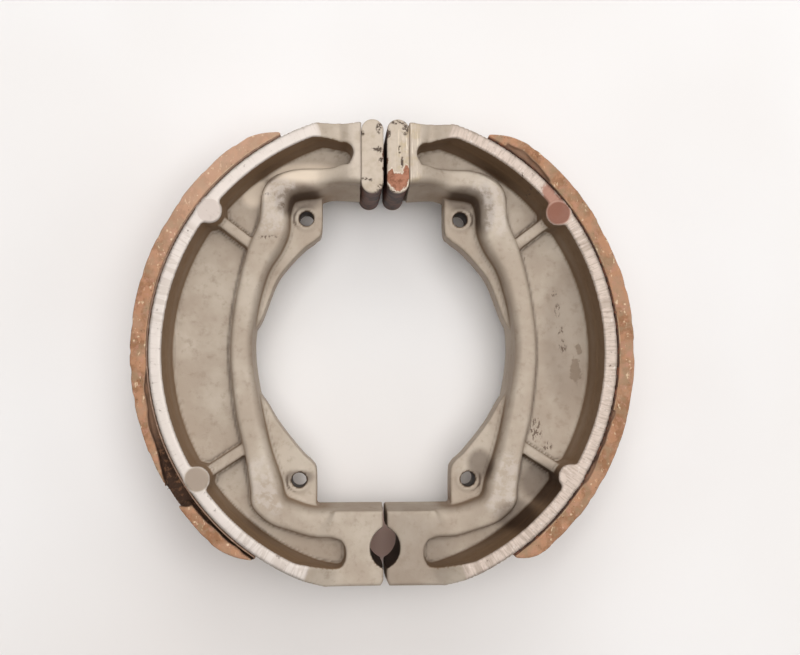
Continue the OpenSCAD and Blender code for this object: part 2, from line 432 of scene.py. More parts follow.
@dataclass(frozen=True)
class ShoeSizes:
    """Sizes shared by the pieces of one shoe, in millimetres and degrees.

    The right shoe's place is used throughout: its arcs are centred at -closed_shift on x,
    x runs outwards from the split and y runs from the anchor end up to the cam end.
    """

    lining_r: float
    width: float
    cam_y: float
    anchor_y: float
    plate_top: float
    plate_x: float
    plate_back: float
    closed_shift: float = 2.3
    lining_t: float = 4.0
    bond_t: float = 0.3
    lining_top_a: float = 62.5
    lining_low_a: float = -56.0
    lining_taper_a: float = 10.5
    lining_tip_t: float = 0.6
    rim_t: float = 3.4
    rim_top_a: float = 68.5
    rim_low_a: float = -66.8
    pocket_w: float = 15.5
    rib_t: float = 6.2
    web_half: float = 4.0
    block_half: float = 10.0
    stiffener_half: float = 9.0
    stiffener_w: float = 2.8
    boss_r: float = 3.2
    boss_top_a: float = 37.2
    boss_low_a: float = -32.8
    cam_arm_h: float = 15.8
    cam_wall: float = 2.3
    plate_t: float = 5.6
    plate_l: float = 18.7
    pin_r: float = 5.5
    pin_past: float = 1.84
    pin_edge: float = 9.45
    pin_inner: float = 9.15
    split_x: float = 0.32
    anchor_wall: float = 10.1
    corner_x: float = 0.7
    corner_y: float = 1.4
    hole_r: float = 1.8
    ring_r: float = 3.0
    ring_h: float = 0.25
    ear_top_x: float = 15.7
    ear_low_x: float = 17.0

    @classmethod
    def from_frame(cls) -> "ShoeSizes":
        """Reads the overall sizes from the frame's own pieces.

        Returns:
            The sizes, with the ones that the frame doesn't give left as they stand.
        """
        low, high = (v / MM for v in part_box("shoe_right"))
        plate_low, plate_high = (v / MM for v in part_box("cam_plate_right"))
        lining_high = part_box("lining_right")[1] / MM
        return cls(
            lining_r=lining_high.x + cls.closed_shift,
            width=high.z,
            cam_y=high.y,
            anchor_y=low.y,
            plate_top=plate_high.y,
            plate_x=plate_low.x,
            plate_back=plate_low.x + cls.plate_t,
        )

    @property
    def mid(self) -> float:
        """Middle of the width."""
        return self.width / 2

    @property
    def lining_in(self) -> float:
        """Inner radius of the lining."""
        return self.lining_r - self.lining_t

    @property
    def rim_r(self) -> float:
        """Outer radius of the casting."""
        return self.lining_in - self.bond_t

    @property
    def rim_in(self) -> float:
        """Inner radius of the casting's rim."""
        return self.rim_r - self.rim_t

    @property
    def arm_in(self) -> float:
        """Level of the cam arm's inner edge."""
        return self.cam_y - self.cam_arm_h

    @property
    def pin_y(self) -> float:
        """Level of the anchor pin's axis."""
        return self.anchor_y + self.pin_edge

    @property
    def anchor_in(self) -> float:
        """Level of the anchor end's inner edge."""
        return self.pin_y + self.pin_inner

    @property
    def rib_out(self) -> float:
        """Pocket side of the inner rib at mid shoe."""
        return self.rim_in - self.closed_shift - self.pocket_w

    @property
    def rib_in(self) -> float:
        """Hub side of the inner rib at mid shoe."""
        return self.rib_out - self.rib_t

    def radius(self, x: Array, y: Array) -> Array:
        """Distance from the shoe's own drum centre."""
        return np.hypot(x + self.closed_shift, y)

    def angle(self, x: Array, y: Array) -> Array:
        """Angle about the shoe's own drum centre, in degrees."""
        return np.degrees(np.arctan2(y, x + self.closed_shift))

    def polar(self, radius: float, angle: float) -> Point:
        """Point on a circle about the shoe's own drum centre."""
        turn = math.radians(angle)
        return radius * math.cos(turn) - self.closed_shift, radius * math.sin(turn)

    def arc(self, radius: float, start: float, end: float, steps: int) -> list[Point]:
        """Arc of points about the shoe's own drum centre."""
        return [self.polar(radius, start + (end - start) * i / steps) for i in range(steps + 1)]

    def spring_holes(self) -> list[Point]:
        """Places the two return spring holes.

        Returns:
            Their centres, the upper one first.
        """
        return [
            (self.ear_top_x + 4.1, self.arm_in - 7.2),
            (self.ear_low_x + 4.5, self.anchor_in + 7.3),
        ]


# --------------------------------------------------------------------------- the casting


@dataclass
class PlanEdges:
    """Distances to the plan shapes that the casting's features share."""

    outline: Array
    hub: Array
    pocket: Array
    beside_plate: Array
    crisp: Array


class Casting(Solid):
    """Die-cast aluminium shoe: rim, web, inner rib, end blocks, ears, bosses, stiffeners.

    The tables of marks hold x, y, half width and half height, in the right shoe's place.
    """

    NICKS = {
        Side.LEFT: ((29.0, 39.6, 2.2, 0.5), (25.5, 36.6, 0.5, 1.5), (29.3, 28.8, 3.3, 0.5)),
        Side.RIGHT: (
            (36.9, 24.5, 0.6, 0.6), (44.3, 15.3, 1.5, 1.0), (45.1, 10.9, 1.0, 2.3),
            (45.6, 5.8, 1.5, 1.3), (46.4, 1.7, 1.3, 2.3), (39.2, -19.8, 2.2, 4.1),
            (42.0, -24.1, 1.8, 1.5), (34.4, 44.1, 0.7, 1.2), (36.9, 40.6, 0.6, 1.5),
            (38.6, 40.1, 0.5, 0.7), (33.0, 49.8, 0.7, 1.0),
        ),
    }
    # painted shade: dark patches over the recesses by the ears and other shaded corners
    SHADED_RECESSES = {
        Side.LEFT: ((20.8, 39.4, 6.4, 3.8), (25.0, 38.0, 3.2, 4.6), (21.5, -31.5, 5.0, 2.2)),
        Side.RIGHT: (
            (20.8, 39.4, 6.4, 3.8), (25.4, 36.0, 3.2, 8.0), (24.5, -28.5, 4.0, 5.0),
            (39.8, -33.0, 6.5, 6.5), (33.0, -41.0, 7.0, 5.0),
        ),
    }
    # painted shade: soft patches over the right shoe's anchor block and mid floor, where the light falls off
    PAINTED_SHADE_SPOTS = ((4.0, -50.0, 16.0, 14.0), (48.0, 4.0, 9.0, 24.0))
    PATCH = ((49.6, -4.7, 2.2, 5.1), (50.6, 0.9, 1.0, 2.2))
    STAIN = ((42.3, 36.8, 3.0, 4.2), (41.2, 39.8, 2.0, 3.2))
    # painted light: the left shoe's upper pocket floor is made paler, as if lit
    PAINTED_LIGHT_SPOTS = ((20.0, 45.8, 13.0, 3.8), (33.0, 41.0, 5.0, 5.0))

    step = 0.49
    quick_step = 0.9

    # how far plan shapes run past the casting, and the degrees over which the rim sinks to each arm
    HUB_SIDE = -20.0
    BEYOND = 3.0
    CAM_RAMP = 20.0
    ANCHOR_RAMP = 11.0

    # drafts, as millimetres of lean to each millimetre of height
    EDGE_DRAFT = 0.015
    POCKET_DRAFT = 0.03
    BOSS_DRAFT = 0.04
    RIM_DRAFT = {Side.LEFT: 0.14, Side.RIGHT: 0.19}

    # fillets where features meet, and the rounding of their own edges
    EDGE_ROUND = 0.5
    WALL_FILLET = 0.6
    RIM_FILLET = 0.5
    EAR_FILLET = 0.4
    BAR_FILLET = 0.4
    BOSS_FILLET = 0.7
    BAR_ROUND = 0.45
    HOLE_ROUND = 0.2
    SEAT_ROUND = 0.15

    # features that only the visual shape has, and where the cam end begins and ends on y
    POCKET_GROWTH = 0.7
    BOSS_ROOM = 3.5
    BOSS_OUT = 0.3
    KNUCKLE_RISE = 0.75
    STEP_X = 12.4
    STEP_DEPTH = 0.9
    STEP_SLOPE = 5.0
    CAM_SIDE = (20.0, 30.0)
    FILM_SPREAD = {Side.LEFT: 13.0, Side.RIGHT: 5.0}

    def __init__(self, sizes: ShoeSizes, side: Side) -> None:
        """Lays out the plan shapes of one casting.

        Args:
            sizes: The shoe's sizes.
            side: Which shoe of the pair it is.
        """
        self.sizes = sizes
        self.side = side
        self.seed = 11 if side is Side.RIGHT else 47
        low = (-self.BEYOND, sizes.anchor_y - self.BEYOND)
        high = (sizes.rim_r + 2, sizes.cam_y + self.BEYOND)
        self.outline = PlanField(self._outline(), low, high)
        self.hub = PlanField(self._hub(), low, high)
        self.pocket = PlanField(self._pocket(), low, high)
        self.ears = [PlanField(ear, low, high) for ear in self._ears()]

    def reach(self) -> tuple[Array, Array]:
        """Finds the space that holds the casting.

        Returns:
            Its lowest and highest corner.
        """
        s = self.sizes
        low = np.array([0.0, s.anchor_y, 0.0])
        return low, np.array([s.rim_r - s.closed_shift, s.cam_y, s.width])

    def _outline(self) -> list[Point]:
        """Draws the end flats that trim the rim's circle.

        Returns:
            The outline's corners.
        """
        s = self.sizes
        return [
            (s.split_x + s.corner_x, s.anchor_y),
            (s.rim_r + 9, s.anchor_y),
            (s.rim_r + 9, s.cam_y),
            (s.plate_back, s.cam_y),
            (s.plate_back, 0),
            (s.split_x, 0),
            (s.split_x, s.anchor_y + s.corner_y),
        ]

    def _hub(self) -> list[Point]:
        """Draws the open space on the hub side.

        Returns:
            The outline's corners.
        """
        s = self.sizes
        rib, arm, anchor = s.rib_in, s.arm_in, s.anchor_in
        edge = smooth([
            (s.plate_back - 3, arm),
            (s.plate_back + 6.5, arm + 0.6),
            (s.ear_top_x + 1.5, arm - 0.6),
            (rib - 11.6, arm - 1.3),
            (rib - 9.2, arm - 3.2),
            (rib - 9, arm - 10.5),
            (rib - 7.2, arm - 15.4),
            (rib - 3.6, arm - 21.6),
            (rib - 0.9, arm - 31.6),
            (rib, 0),
            (rib - 1.8, anchor + 27.4),
            (rib - 4.4, anchor + 16),
            (rib - 7.2, anchor + 7.6),
            (rib - 8.2, anchor + 3.3),
            (rib - 10.4, anchor + 1.8),
            (s.ear_low_x + 1, anchor + 0.2),
            (s.ear_low_x - 4, anchor),
        ])
        return [(self.HUB_SIDE, arm), *edge, (self.HUB_SIDE, anchor)]

    def _pocket(self) -> list[Point]:
        """Draws the pocket between the rim and the inner rib.

        Returns:
            The outline's corners.
        """
        s = self.sizes
        foot_c = s.arm_in + 5.6
        foot_a = s.anchor_in - 7.6
        end_c = s.plate_back + s.cam_wall
        end_a = s.anchor_wall
        out = s.rib_out
        beyond = s.rim_in + s.rim_t
        rib_foot = smooth([
            (end_c + 1, foot_c),
            (out - 17.8, foot_c),
            (out - 11, foot_c - 2.3),
            (out - 7.8, foot_c - 6.6),
            (out - 7, foot_c - 14),
            (out - 4, foot_c - 21.6),
            (out - 1.2, foot_c - 34),
            (out, 0),
            (out - 1.3, foot_a + 32.8),
            (out - 3.7, foot_a + 22),
            (out - 5, foot_a + 14),
            (out - 5.7, foot_a + 8.4),
            (out - 10, foot_a + 4),
            (out - 16, foot_a + 1.7),
            (out - 21.5, foot_a + 0.1),
            (end_a + 1, foot_a),
        ])
        anchor_end = smooth([
            (end_a + 1, foot_a),
            (end_a, foot_a - 1.6),
            (end_a, foot_a - 4.4),
            (end_a + 1.6, foot_a - 6.3),
            (end_a + 8, foot_a - 5.1),
            s.polar(s.rim_in + s.rim_t / 2, -58),
        ])
        cam_end = smooth([
            s.polar(s.rim_in + s.rim_t / 2, 62),
            (end_c + 9.8, foot_c + 6),
            (end_c + 5, foot_c + 5.5),
            (end_c + 1, foot_c + 4.4),
            (end_c, foot_c + 2.4),
            (end_c + 1, foot_c),
        ])
        return [*rib_foot, *anchor_end, *s.arc(beyond, -56, 60, 40), *cam_end]

    def _ears(self) -> list[list[Point]]:
        """Draws the plates that carry the return springs.

        Returns:
            The corners of the upper and the lower one.
        """
        s = self.sizes
        rib, arm, anchor = s.rib_in, s.arm_in, s.anchor_in
        top = smooth([
            (s.ear_top_x, arm + 1.5),
            (s.ear_top_x, arm - 10),
            (s.ear_top_x + 1.6, arm - 12.6),
            (s.ear_top_x + 4.7, arm - 15),
            (rib - 8.8, arm - 19.4),
            (rib - 5.7, arm - 24),
            (rib - 1.6, arm - 34.4),
            (rib + 1.5, arm - 36),
        ])
        low = smooth([
            (s.ear_low_x, anchor - 1),
            (s.ear_low_x, anchor + 9),
            (s.ear_low_x + 0.9, anchor + 11.6),
            (s.ear_low_x + 3.4, anchor + 14),
            (rib - 8.9, anchor + 18.8),
            (rib - 6.1, anchor + 22.6),
            (rib - 2.4, anchor + 28.6),
            (rib + 1.5, anchor + 31),
        ])
        return [
            [*top, (rib + 1.5, arm - 12), (s.ear_top_x + 6, arm + 1)],
            [*low, (rib + 1.5, anchor + 8), (s.ear_low_x + 8, anchor - 1)],
        ]

    def knuckles(self) -> list[tuple[float, float, float]]:
        """Corners of the inner rib that stand proud and are ground: x, y and reach."""
        s = self.sizes
        return [(s.rib_out - 12.6, s.arm_in - 5.2, 7.5), (s.rib_out - 9.4, s.anchor_in + 6.4, 7.0)]

    def rim_share(self, x: Array, y: Array) -> Array:
        """Measures how far the wall's top is at the machined height.

        Args:
            x: The points' x values, in millimetres.
            y: The points' y values.

        Returns:
            0 on the arms, 1 along the rim.
        """
        s = self.sizes
        angle = s.angle(x, y)
        low_end = smoothstep(s.rim_low_a - self.ANCHOR_RAMP, s.rim_low_a, angle)
        return low_end * (1 - smoothstep(s.rim_top_a, s.rim_top_a + self.CAM_RAMP, angle))

    def edges(self, x: Array, y: Array, h: Array) -> PlanEdges:
        """Measures the plan edges that the casting's features share.

        Args:
            x: The points' x values, in millimetres.
            y: The points' y values.
            h: Distance from mid width.

        Returns:
            The distances, with where the cam plate is near and where the pocket is crisp.
        """
        s = self.sizes
        radius = s.radius(x, y)
        beside = (1 - smoothstep(s.plate_back + 0.8, s.plate_back + 2.4, x)) * smoothstep(*self.CAM_SIDE, y)
        outline = np.maximum(self.outline(x, y), radius - s.rim_r) + self.EDGE_DRAFT * h * (1 - beside)

        # the hub side leans out towards mid width, most of all on the cam arm
        lean = 0.06 + 0.2 * smoothstep(34, 40, y) + 0.07 * smoothstep(-34, -38, y)
        hub = self.hub(x, y) + lean * np.maximum(s.block_half - h, 0)
        crisp = np.maximum(1 - smoothstep(10, 14, x), smoothstep(49, 51.5, np.abs(y)))
        pocket = self.pocket(x, y) - self.POCKET_GROWTH * (1 - crisp)
        pocket = pocket - self.POCKET_DRAFT * np.maximum(h - s.web_half, 0)
        rim_wall = radius - s.rim_in + self.RIM_DRAFT[self.side] * (s.mid - h)
        return PlanEdges(outline, hub, np.maximum(pocket, rim_wall), beside, crisp)

    def walls(self, x: Array, y: Array, h: Array, plan: PlanEdges) -> Array:
        """Shapes the walls of the arms and the inner rib.

        Args:
            x: The points' x values, in millimetres.
            y: The points' y values.
            h: Distance from mid width.
            plan: The plan edges at the points.

        Returns:
            The distances, negative inside.
        """
        s = self.sizes
        top = s.block_half + np.zeros_like(x + y)
        inwards = np.clip((s.anchor_in - y) / 6, 0, 1)
        low_rib = smoothstep(0, 1, (x - self.STEP_X - 0.8 * inwards) / (0.7 + self.STEP_SLOPE * inwards))
        low_rib = low_rib * (1 - smoothstep(19, 27, x)) * (1 - smoothstep(s.anchor_in, -34, y))
        top = top - self.STEP_DEPTH * low_rib * smoothstep(-52, -48, y)
        for kx, ky, reach in self.knuckles():
            top = top + self.KNUCKLE_RISE * np.exp(-(((x - kx) ** 2 + (y - ky) ** 2) / reach**2))
        rise = np.maximum(h - top, h - s.block_half - 0.3)
        boss_wall = 1 - smoothstep(s.plate_back + 1.6, s.plate_back + 12, x)
        rise = rise - (s.mid - s.block_half) * (boss_wall * smoothstep(*self.CAM_SIDE, y))
        soft = 0.5 + 1.7 * smoothstep(12, 16, x + 0 * y)
        soft = soft * smoothstep(-20, -36, y) + (1 - smoothstep(-20, -36, y)) * 2.0
        pocket_edge = 0.4 + 0.8 * (1 - plan.crisp)
        walls = np.maximum(round_cut(-plan.hub, rise, soft), round_cut(-plan.pocket, rise, pocket_edge))
        return np.maximum(walls, round_cut(plan.outline, rise, self.EDGE_ROUND - 0.42 * plan.beside_plate))

    def web(self, x: Array, y: Array, h: Array, plan: PlanEdges) -> Array:
        """Shapes the web at mid width and the ears that carry the return springs.

        Args:
            x: The points' x values, in millimetres.
            y: The points' y values.
            h: Distance from mid width.
            plan: The plan edges at the points.

        Returns:
            The distances, negative inside.
        """
        s = self.sizes
        web = round_cut(np.maximum(plan.outline, -self.hub(x, y)), h - s.web_half, self.EDGE_ROUND)
        for ear in self.ears:
            web = round_union(web, round_cut(ear(x, y), h - s.web_half, self.EDGE_ROUND), self.EAR_FILLET)
        return web

    def rim(self, x: Array, y: Array, h: Array, plan: PlanEdges) -> Array:
        """Shapes the rim and the two bosses on its inner side.

        Args:
            x: The points' x values, in millimetres.
            y: The points' y values.
            h: Distance from mid width.
            plan: The plan edges at the points.

        Returns:
            The distances, negative inside.
        """
        s = self.sizes
        radius = s.radius(x, y)
        rim = np.maximum(np.maximum(plan.outline, -plan.pocket), s.rim_in - self.BOSS_ROOM - radius)
        for bx, by in self.bosses():
            boss = np.hypot(x - bx, y - by) - s.boss_r - self.BOSS_DRAFT * (s.mid - h)
            rim = round_union(rim, np.maximum(boss, plan.outline), self.BOSS_FILLET)
        arm = s.block_half - 0.4
        height = arm + (s.mid - arm) * self.rim_share(x, y)
        return round_cut(rim, h - height, 0.3 - 0.2 * smoothstep(s.rim_r - 1.4, s.rim_r - 0.6, radius))

    def stiffener(self, x: Array, y: Array, h: Array, angle: float) -> Array:
        """Shapes the bar between a boss and the inner rib.

        Args:
            x: The points' x values, in millimetres.
            y: The points' y values.
            h: Distance from mid width.
            angle: The boss's angle, in degrees.

        Returns:
            The distances, negative inside.
        """
        s = self.sizes
        turn = math.radians(angle)
        along = (x + s.closed_shift) * math.cos(turn) + y * math.sin(turn)
        across = np.abs(y * math.cos(turn) - (x + s.closed_shift) * math.sin(turn))
        sides = across - s.stiffener_w / 2 - self.POCKET_DRAFT * (s.stiffener_half - h)
        ends = np.maximum(s.rib_out + s.closed_shift + 1 - along, along - s.rim_in - 1)
        return round_cut(np.maximum(sides, ends), h - s.stiffener_half, self.BAR_ROUND)

    def distance(self, x: Array, y: Array, z: Array) -> Array:
        """Measures the distance to the casting's surface.

        Args:
            x: The points' x values, in millimetres.
            y: The points' y values.
            z: The points' heights.

        Returns:
            The distances, negative inside.
        """
        s = self.sizes
        h = np.abs(z - s.mid)
        plan = self.edges(x, y, h)
        body = round_union(self.walls(x, y, h, plan), self.web(x, y, h, plan), self.WALL_FILLET)
        for hx, hy in s.spring_holes():
            ring = round_cut(np.hypot(x - hx, y - hy) - s.ring_r, h - s.web_half - s.ring_h, s.ring_h)
            body = round_union(body, ring, self.EDGE_ROUND)
        for angle in (s.boss_top_a, s.boss_low_a):
            body = round_union(body, self.stiffener(x, y, h, angle), self.BAR_FILLET)
        solid = round_union(body, self.rim(x, y, h, plan), self.RIM_FILLET)
        seat = np.hypot(x + s.pin_past, y - s.pin_y) - s.pin_r
        solid = round_cut(solid, -seat, self.SEAT_ROUND)
        for hx, hy in s.spring_holes():
            solid = round_cut(solid, s.hole_r - np.hypot(x - hx, y - hy), self.HOLE_ROUND)
        return solid

    def relief(self, x: Array, y: Array, z: Array) -> Array:
        """Makes the cast unevenness: slow waves and finer lumps, none on the machined faces.

        Args:
            x: The points' x values, in millimetres.
            y: The points' y values.
            z: The points' heights.

        Returns:
            How far the surface is raised.
        """
        h = np.abs(z - self.sizes.mid)
        cast = 1 - smoothstep(self.sizes.mid - 0.9, self.sizes.mid - 0.3, h)
        slow = lumps(x, y, z, 9.0, self.seed)
        fine = lumps(x, y, z, 2.6, self.seed + 1)
        return -(0.1 * (slow * 0.5 + 0.5) + 0.045 * (fine * 0.5 + 0.5)) * cast

    def marks(self, skin: Skin) -> dict[str, Array]:
        """Finds the machined faces, worn knuckles, hollows, crests, walls and stains, and where shade and
        light are painted.

        Args:
            skin: The casting's surface.

        Returns:
            The values that the finish reads, by name.
        """
        s = self.sizes
        x, y, z = skin.points.T
        h = np.abs(z - s.mid)
        level = np.abs(skin.normals[:, 2])
        upper = smoothstep(s.mid, s.mid + 1, z)
        wall = 1 - smoothstep(0.25, 0.8, level)
        radius, turn = s.radius(x, y), s.angle(x, y)
        machined = smoothstep(s.mid - 0.35, s.mid - 0.12, h)
        edge = np.abs(self.pocket(x, y) + 0.1)
        foot = (1 - smoothstep(0.1, 0.55, edge)) * (1 - smoothstep(s.web_half + 0.5, s.web_half + 1.4, h))
        marks = {
            "machined": machined,
            "ground": self.worn(x, y, z, level),
            "hollow": self.closeness(skin, (1.2, 3.0, 6.0), 1),
            "crest": self.closeness(skin, (0.6, 1.4), -1),
            "wall": wall,
            "bore": self.bores(x, y),
            "shade": self.rim_shade(skin, wall),
            "film": self.coated(x, y, h, level),
            "nicks": spots(x, y, self.NICKS[self.side]) * upper,
            "recess_shade": spots(x, y, self.SHADED_RECESSES[self.side]),
            "chatter": smoothstep(-44, -48, turn) + smoothstep(4, 9, turn) - smoothstep(31, 33, turn),
            "foot": foot * (1 - smoothstep(s.rim_in - 9, s.rim_in - 6, radius)),
        }
        if self.side is Side.RIGHT:
            marks["patch"] = spots(x, y, self.PATCH) * upper
            marks["dusk"] = smoothstep(0, 0.5, spots(x, y, self.PAINTED_SHADE_SPOTS))
            marks["stain"] = spots(x, y, self.STAIN) * machined * upper
        else:
            marks["painted_light"] = spots(x, y, self.PAINTED_LIGHT_SPOTS) * level
        return marks

    def worn(self, x: Array, y: Array, z: Array, level: Array) -> Array:
        """Finds where the knuckles are worn bright.

        Args:
            x: The points' x values, in millimetres.
            y: The points' y values.
            z: The points' heights.
            level: How level the surface is, from 0 to 1.

        Returns:
            1 where it is worn, 0 elsewhere.
        """
        worn = np.zeros(len(x))
        uneven = 0.25 * lumps(x, y, z, 3.0, 5)
        for kx, ky, reach in self.knuckles():
            near = np.hypot(x - kx, y - ky) / reach
            worn = np.maximum(worn, 1 - smoothstep(0.75, 1.1, near + uneven))
        half = self.sizes.block_half
        h = np.abs(z - self.sizes.mid)
        return worn * smoothstep(half - 1.2, half - 0.2, h) * smoothstep(0.8, 0.97, level)

    def rim_shade(self, skin: Skin, wall: Array) -> Array:
        """Finds the rim's inner wall, where shade is painted, more so towards the top and bottom faces.

        Args:
            skin: The casting's surface.
            wall: How steep the surface is, from 0 to 1.

        Returns:
            1 where the wall is darkest, 0 away from it.
        """
        s = self.sizes
        x, y, z = skin.points.T
        radius = s.radius(x, y)
        inwards = -(skin.normals[:, 0] * (x + s.closed_shift) + skin.normals[:, 1] * y) / radius
        shade = smoothstep(0.15, 0.6, inwards * wall) * smoothstep(s.rim_in - 9, s.rim_in - 6, radius)
        return shade * (0.45 + 0.55 * smoothstep(s.web_half + 0.8, s.web_half + 6, np.abs(z - s.mid)))

    def coated(self, x: Array, y: Array, h: Array, level: Array) -> Array:
        """Finds how far the cam plate's film has spread over the arm.

        Args:
            x: The points' x values, in millimetres.
            y: The points' y values.
            h: Distance from mid width.
            level: How level the surface is, from 0 to 1.

        Returns:
            1 where the film is whole, 0 where there is none.
        """
        s = self.sizes
        film = 1 - smoothstep(s.plate_back + 2.0, s.plate_back + self.FILM_SPREAD[self.side], x)
        film = film * smoothstep(s.arm_in - 1, s.arm_in + 1, y) * smoothstep(0.5, 0.85, level)
        return film * smoothstep(s.block_half - 1, s.block_half - 0.5, h)

    def bosses(self) -> list[Point]:
        """Centres of the two bosses, the upper one first."""
        s = self.sizes
        return [s.polar(s.rim_in + self.BOSS_OUT, angle) for angle in (s.boss_top_a, s.boss_low_a)]

    def discs(self) -> list[tuple[float, float, float]]:
        """Centres of the bosses' tops, the upper one first, in metres and in this shoe's place."""
        sign = 1 if self.side is Side.RIGHT else -1
        return [(sign * x * MM, y * MM, self.sizes.width * MM) for x, y in self.bosses()]

    def bores(self, x: Array, y: Array) -> Array:
        """Finds the walls of the pin seat and the spring holes.

        Args:
            x: The points' x values, in millimetres.
            y: The points' y values.

        Returns:
            1 on those walls, 0 away from them.
        """
        s = self.sizes
        near = np.abs(np.hypot(x + s.pin_past, y - s.pin_y) - s.pin_r)
        for hx, hy in s.spring_holes():
            near = np.minimum(near, np.abs(np.hypot(x - hx, y - hy) - s.hole_r) * 1.5)
        return 1 - smoothstep(0.12, 0.4, near)


# --------------------------------------------------------------------------- the lining


class Lining(Solid):
    """Moulded friction lining with tapered ends, ragged edges and broken places."""

    step = 0.42
    quick_step = 0.8

    # angles below the middle, and how much of the left lining's thickness is gone there
    LOST = ((4, 8, 16, 23, 27, 30.5, 34), (0, 0.9, 1.4, 1.9, 2.6, 3.6, 5.0))
    TAPER_POWER = 1.9
    BLUNT_END = 1.3
    OUTER_ROUND = 0.5
    BREAK_ROUND = 0.12

    def __init__(self, sizes: ShoeSizes, side: Side) -> None:
        """Sets the side, which decides where the lining is broken.

        Args:
            sizes: The shoe's sizes.
            side: Which shoe of the pair it is.
        """
        self.sizes = sizes
        self.side = side
        self.seed = 5 if side is Side.RIGHT else 71

    def reach(self) -> tuple[Array, Array]:
        """Finds the space that holds the lining.

        Returns:
            Its lowest and highest corner.
        """
        s = self.sizes
        half = s.lining_r * math.sin(math.radians(s.lining_top_a))
        low = np.array([s.polar(s.lining_in, s.lining_top_a)[0] - 1, -half, 0.0])
        return low, np.array([s.lining_r - s.closed_shift, half, s.width])

    def break_off(self, radius: Array, angle: Array, z: Array, ragged: Array) -> Array:
        """Distance to what has broken away from the top edge, negative inside.

        Args:
            radius: Radius about the shoe's drum centre.
            angle: Angle about it, in degrees.
            z: Height.
            ragged: Unevenness of the broken surface.

        Returns:
            The distances, positive where nothing is missing.
        """
        s = self.sizes
        per_degree = s.lining_in * math.pi / 180
        if self.side is Side.LEFT:
            share = np.clip((-4.0 - angle) / 27.0, 0, 1.3)
            lost = np.interp(-angle, *self.LOST)
            edge = s.lining_in + lost + 0.4 * ragged
            floor = s.width - 1.0 - 2.0 * share + 0.5 * ragged
            wedge = np.maximum(radius - edge, floor - z)
            wedge = np.maximum(wedge, (-37.3 - angle + 1.2 * ragged + (radius - 61) * 0.6) * per_degree)
            wedge = np.maximum(wedge, (angle + 4.0) * per_degree)
            edge = s.lining_in + 0.95 - 0.7 * (-37 - angle) / 19 + 0.25 * ragged
            seam = np.maximum(radius - edge, s.width - 2.2 - z)
            seam = np.maximum(seam, np.maximum(-56.5 - angle, angle + 36) * per_degree)
            return np.minimum(wedge, seam)
        share = np.clip((58.0 - angle) / 14.0, 0, 1)
        edge = s.lining_in + 0.2 + 1.1 * np.sin(math.pi * np.clip(share, 0.08, 1) ** 0.7) + 0.3 * ragged
        strip = np.maximum(radius - edge, s.width - 0.6 - 0.4 * share + 0.4 * ragged - z)
        strip = np.maximum(strip, np.maximum(44.5 - angle, angle - 57.6) * per_degree)
        edge = s.lining_in + 0.3 + 0.45 * ragged
        seam = np.maximum(radius - edge, s.width - 0.9 + 0.6 * ragged - z)
        seam = np.maximum(seam, np.maximum(-34 - angle, angle + 14) * per_degree)
        return np.minimum(strip, seam)

    def distance(self, x: Array, y: Array, z: Array) -> Array:
        """Measures the distance to the lining's surface.

        Args:
            x: The points' x values, in millimetres.
            y: The points' y values.
            z: The points' heights.

        Returns:
            The distances, negative inside.
        """
        s = self.sizes
        h = np.abs(z - s.mid)
        radius, angle = s.radius(x, y), s.angle(x, y)
        per_degree = s.lining_in * math.pi / 180
        ragged = lumps(x, y, z, 2.3, self.seed)
        coarse = lumps(x, y, z * 0.3, 6.0, self.seed + 3)
        near_edge = smoothstep(s.mid - 3.5, s.mid, h)
        nibble = 0.34 * np.maximum(ragged, 0) + 0.34 * np.maximum(coarse, 0)
        outer = radius - s.lining_r + 0.04 + nibble * near_edge
        if self.side is Side.RIGHT:
            outer = outer + 0.2 * smoothstep(-38.5, -40.5, angle) - 0.12 * smoothstep(-6, -20, angle)
        ends = np.maximum(angle - s.lining_top_a, s.lining_low_a - angle) * per_degree
        gone = np.clip(1 + ends / per_degree / s.lining_taper_a, 0, 1)
        cut = s.lining_t - s.lining_tip_t
        late = self.TAPER_POWER + self.BLUNT_END * (angle < 0) * (self.side is Side.RIGHT)
        taper = radius - s.lining_r + cut * gone**late
        plan = np.maximum(s.lining_in - radius, ends)
        plan = round_cut(plan, np.maximum(outer, taper), self.OUTER_ROUND)
        soft = 0.08 + 0.24 * smoothstep(s.lining_in + 0.4, s.lining_in + 1.2, radius)
        solid = round_cut(plan, h - s.mid + 0.02 + 0.1 * np.maximum(coarse, 0), soft)
        return round_cut(solid, -self.break_off(radius, angle, z, ragged), self.BREAK_ROUND)

    def relief(self, x: Array, y: Array, z: Array) -> Array:
        """Makes the grit and torn fibres.

        Args:
            x: The points' x values, in millimetres.
            y: The points' y values.
            z: The points' heights.

        Returns:
            How far the surface is raised.
        """
        grit = lumps(x, y, z, 0.9, self.seed + 7)
        coarse = lumps(x, y, z, 3.1, self.seed + 8)
        return -0.05 * (grit * 0.5 + 0.5) - 0.06 * (coarse * 0.5 + 0.5)

    def marks(self, skin: Skin) -> dict[str, Array]:
        """Finds the broken surfaces, the edges and the rubbing face.

        Args:
            skin: The lining's surface.

        Returns:
            The values that the finish reads, by name.
        """
        s = self.sizes
        x, y, z = skin.points.T
        radius, angle = s.radius(x, y), s.angle(x, y)
        ragged = lumps(x, y, z, 2.3, self.seed)
        broken = 1 - smoothstep(0.05, 0.4, self.break_off(radius, angle, z, ragged))
        crest = self.closeness(skin, (0.5, 1.1), -1)
        face = smoothstep(s.lining_r - 0.6, s.lining_r - 0.2, radius)
        face = face * (1 - smoothstep(0.3, 0.7, np.abs(skin.normals[:, 2])))
        marks = {"broken": broken, "crest": crest, "face": face}
        left = self.side is Side.LEFT
        marks["deep"] = smoothstep(-14, -25, angle) * left
        # the left lining turns paler towards its cam end
        marks["paler_top"] = smoothstep(12, 45, angle) * left
        return marks


# --------------------------------------------------------------------------- the cam plate


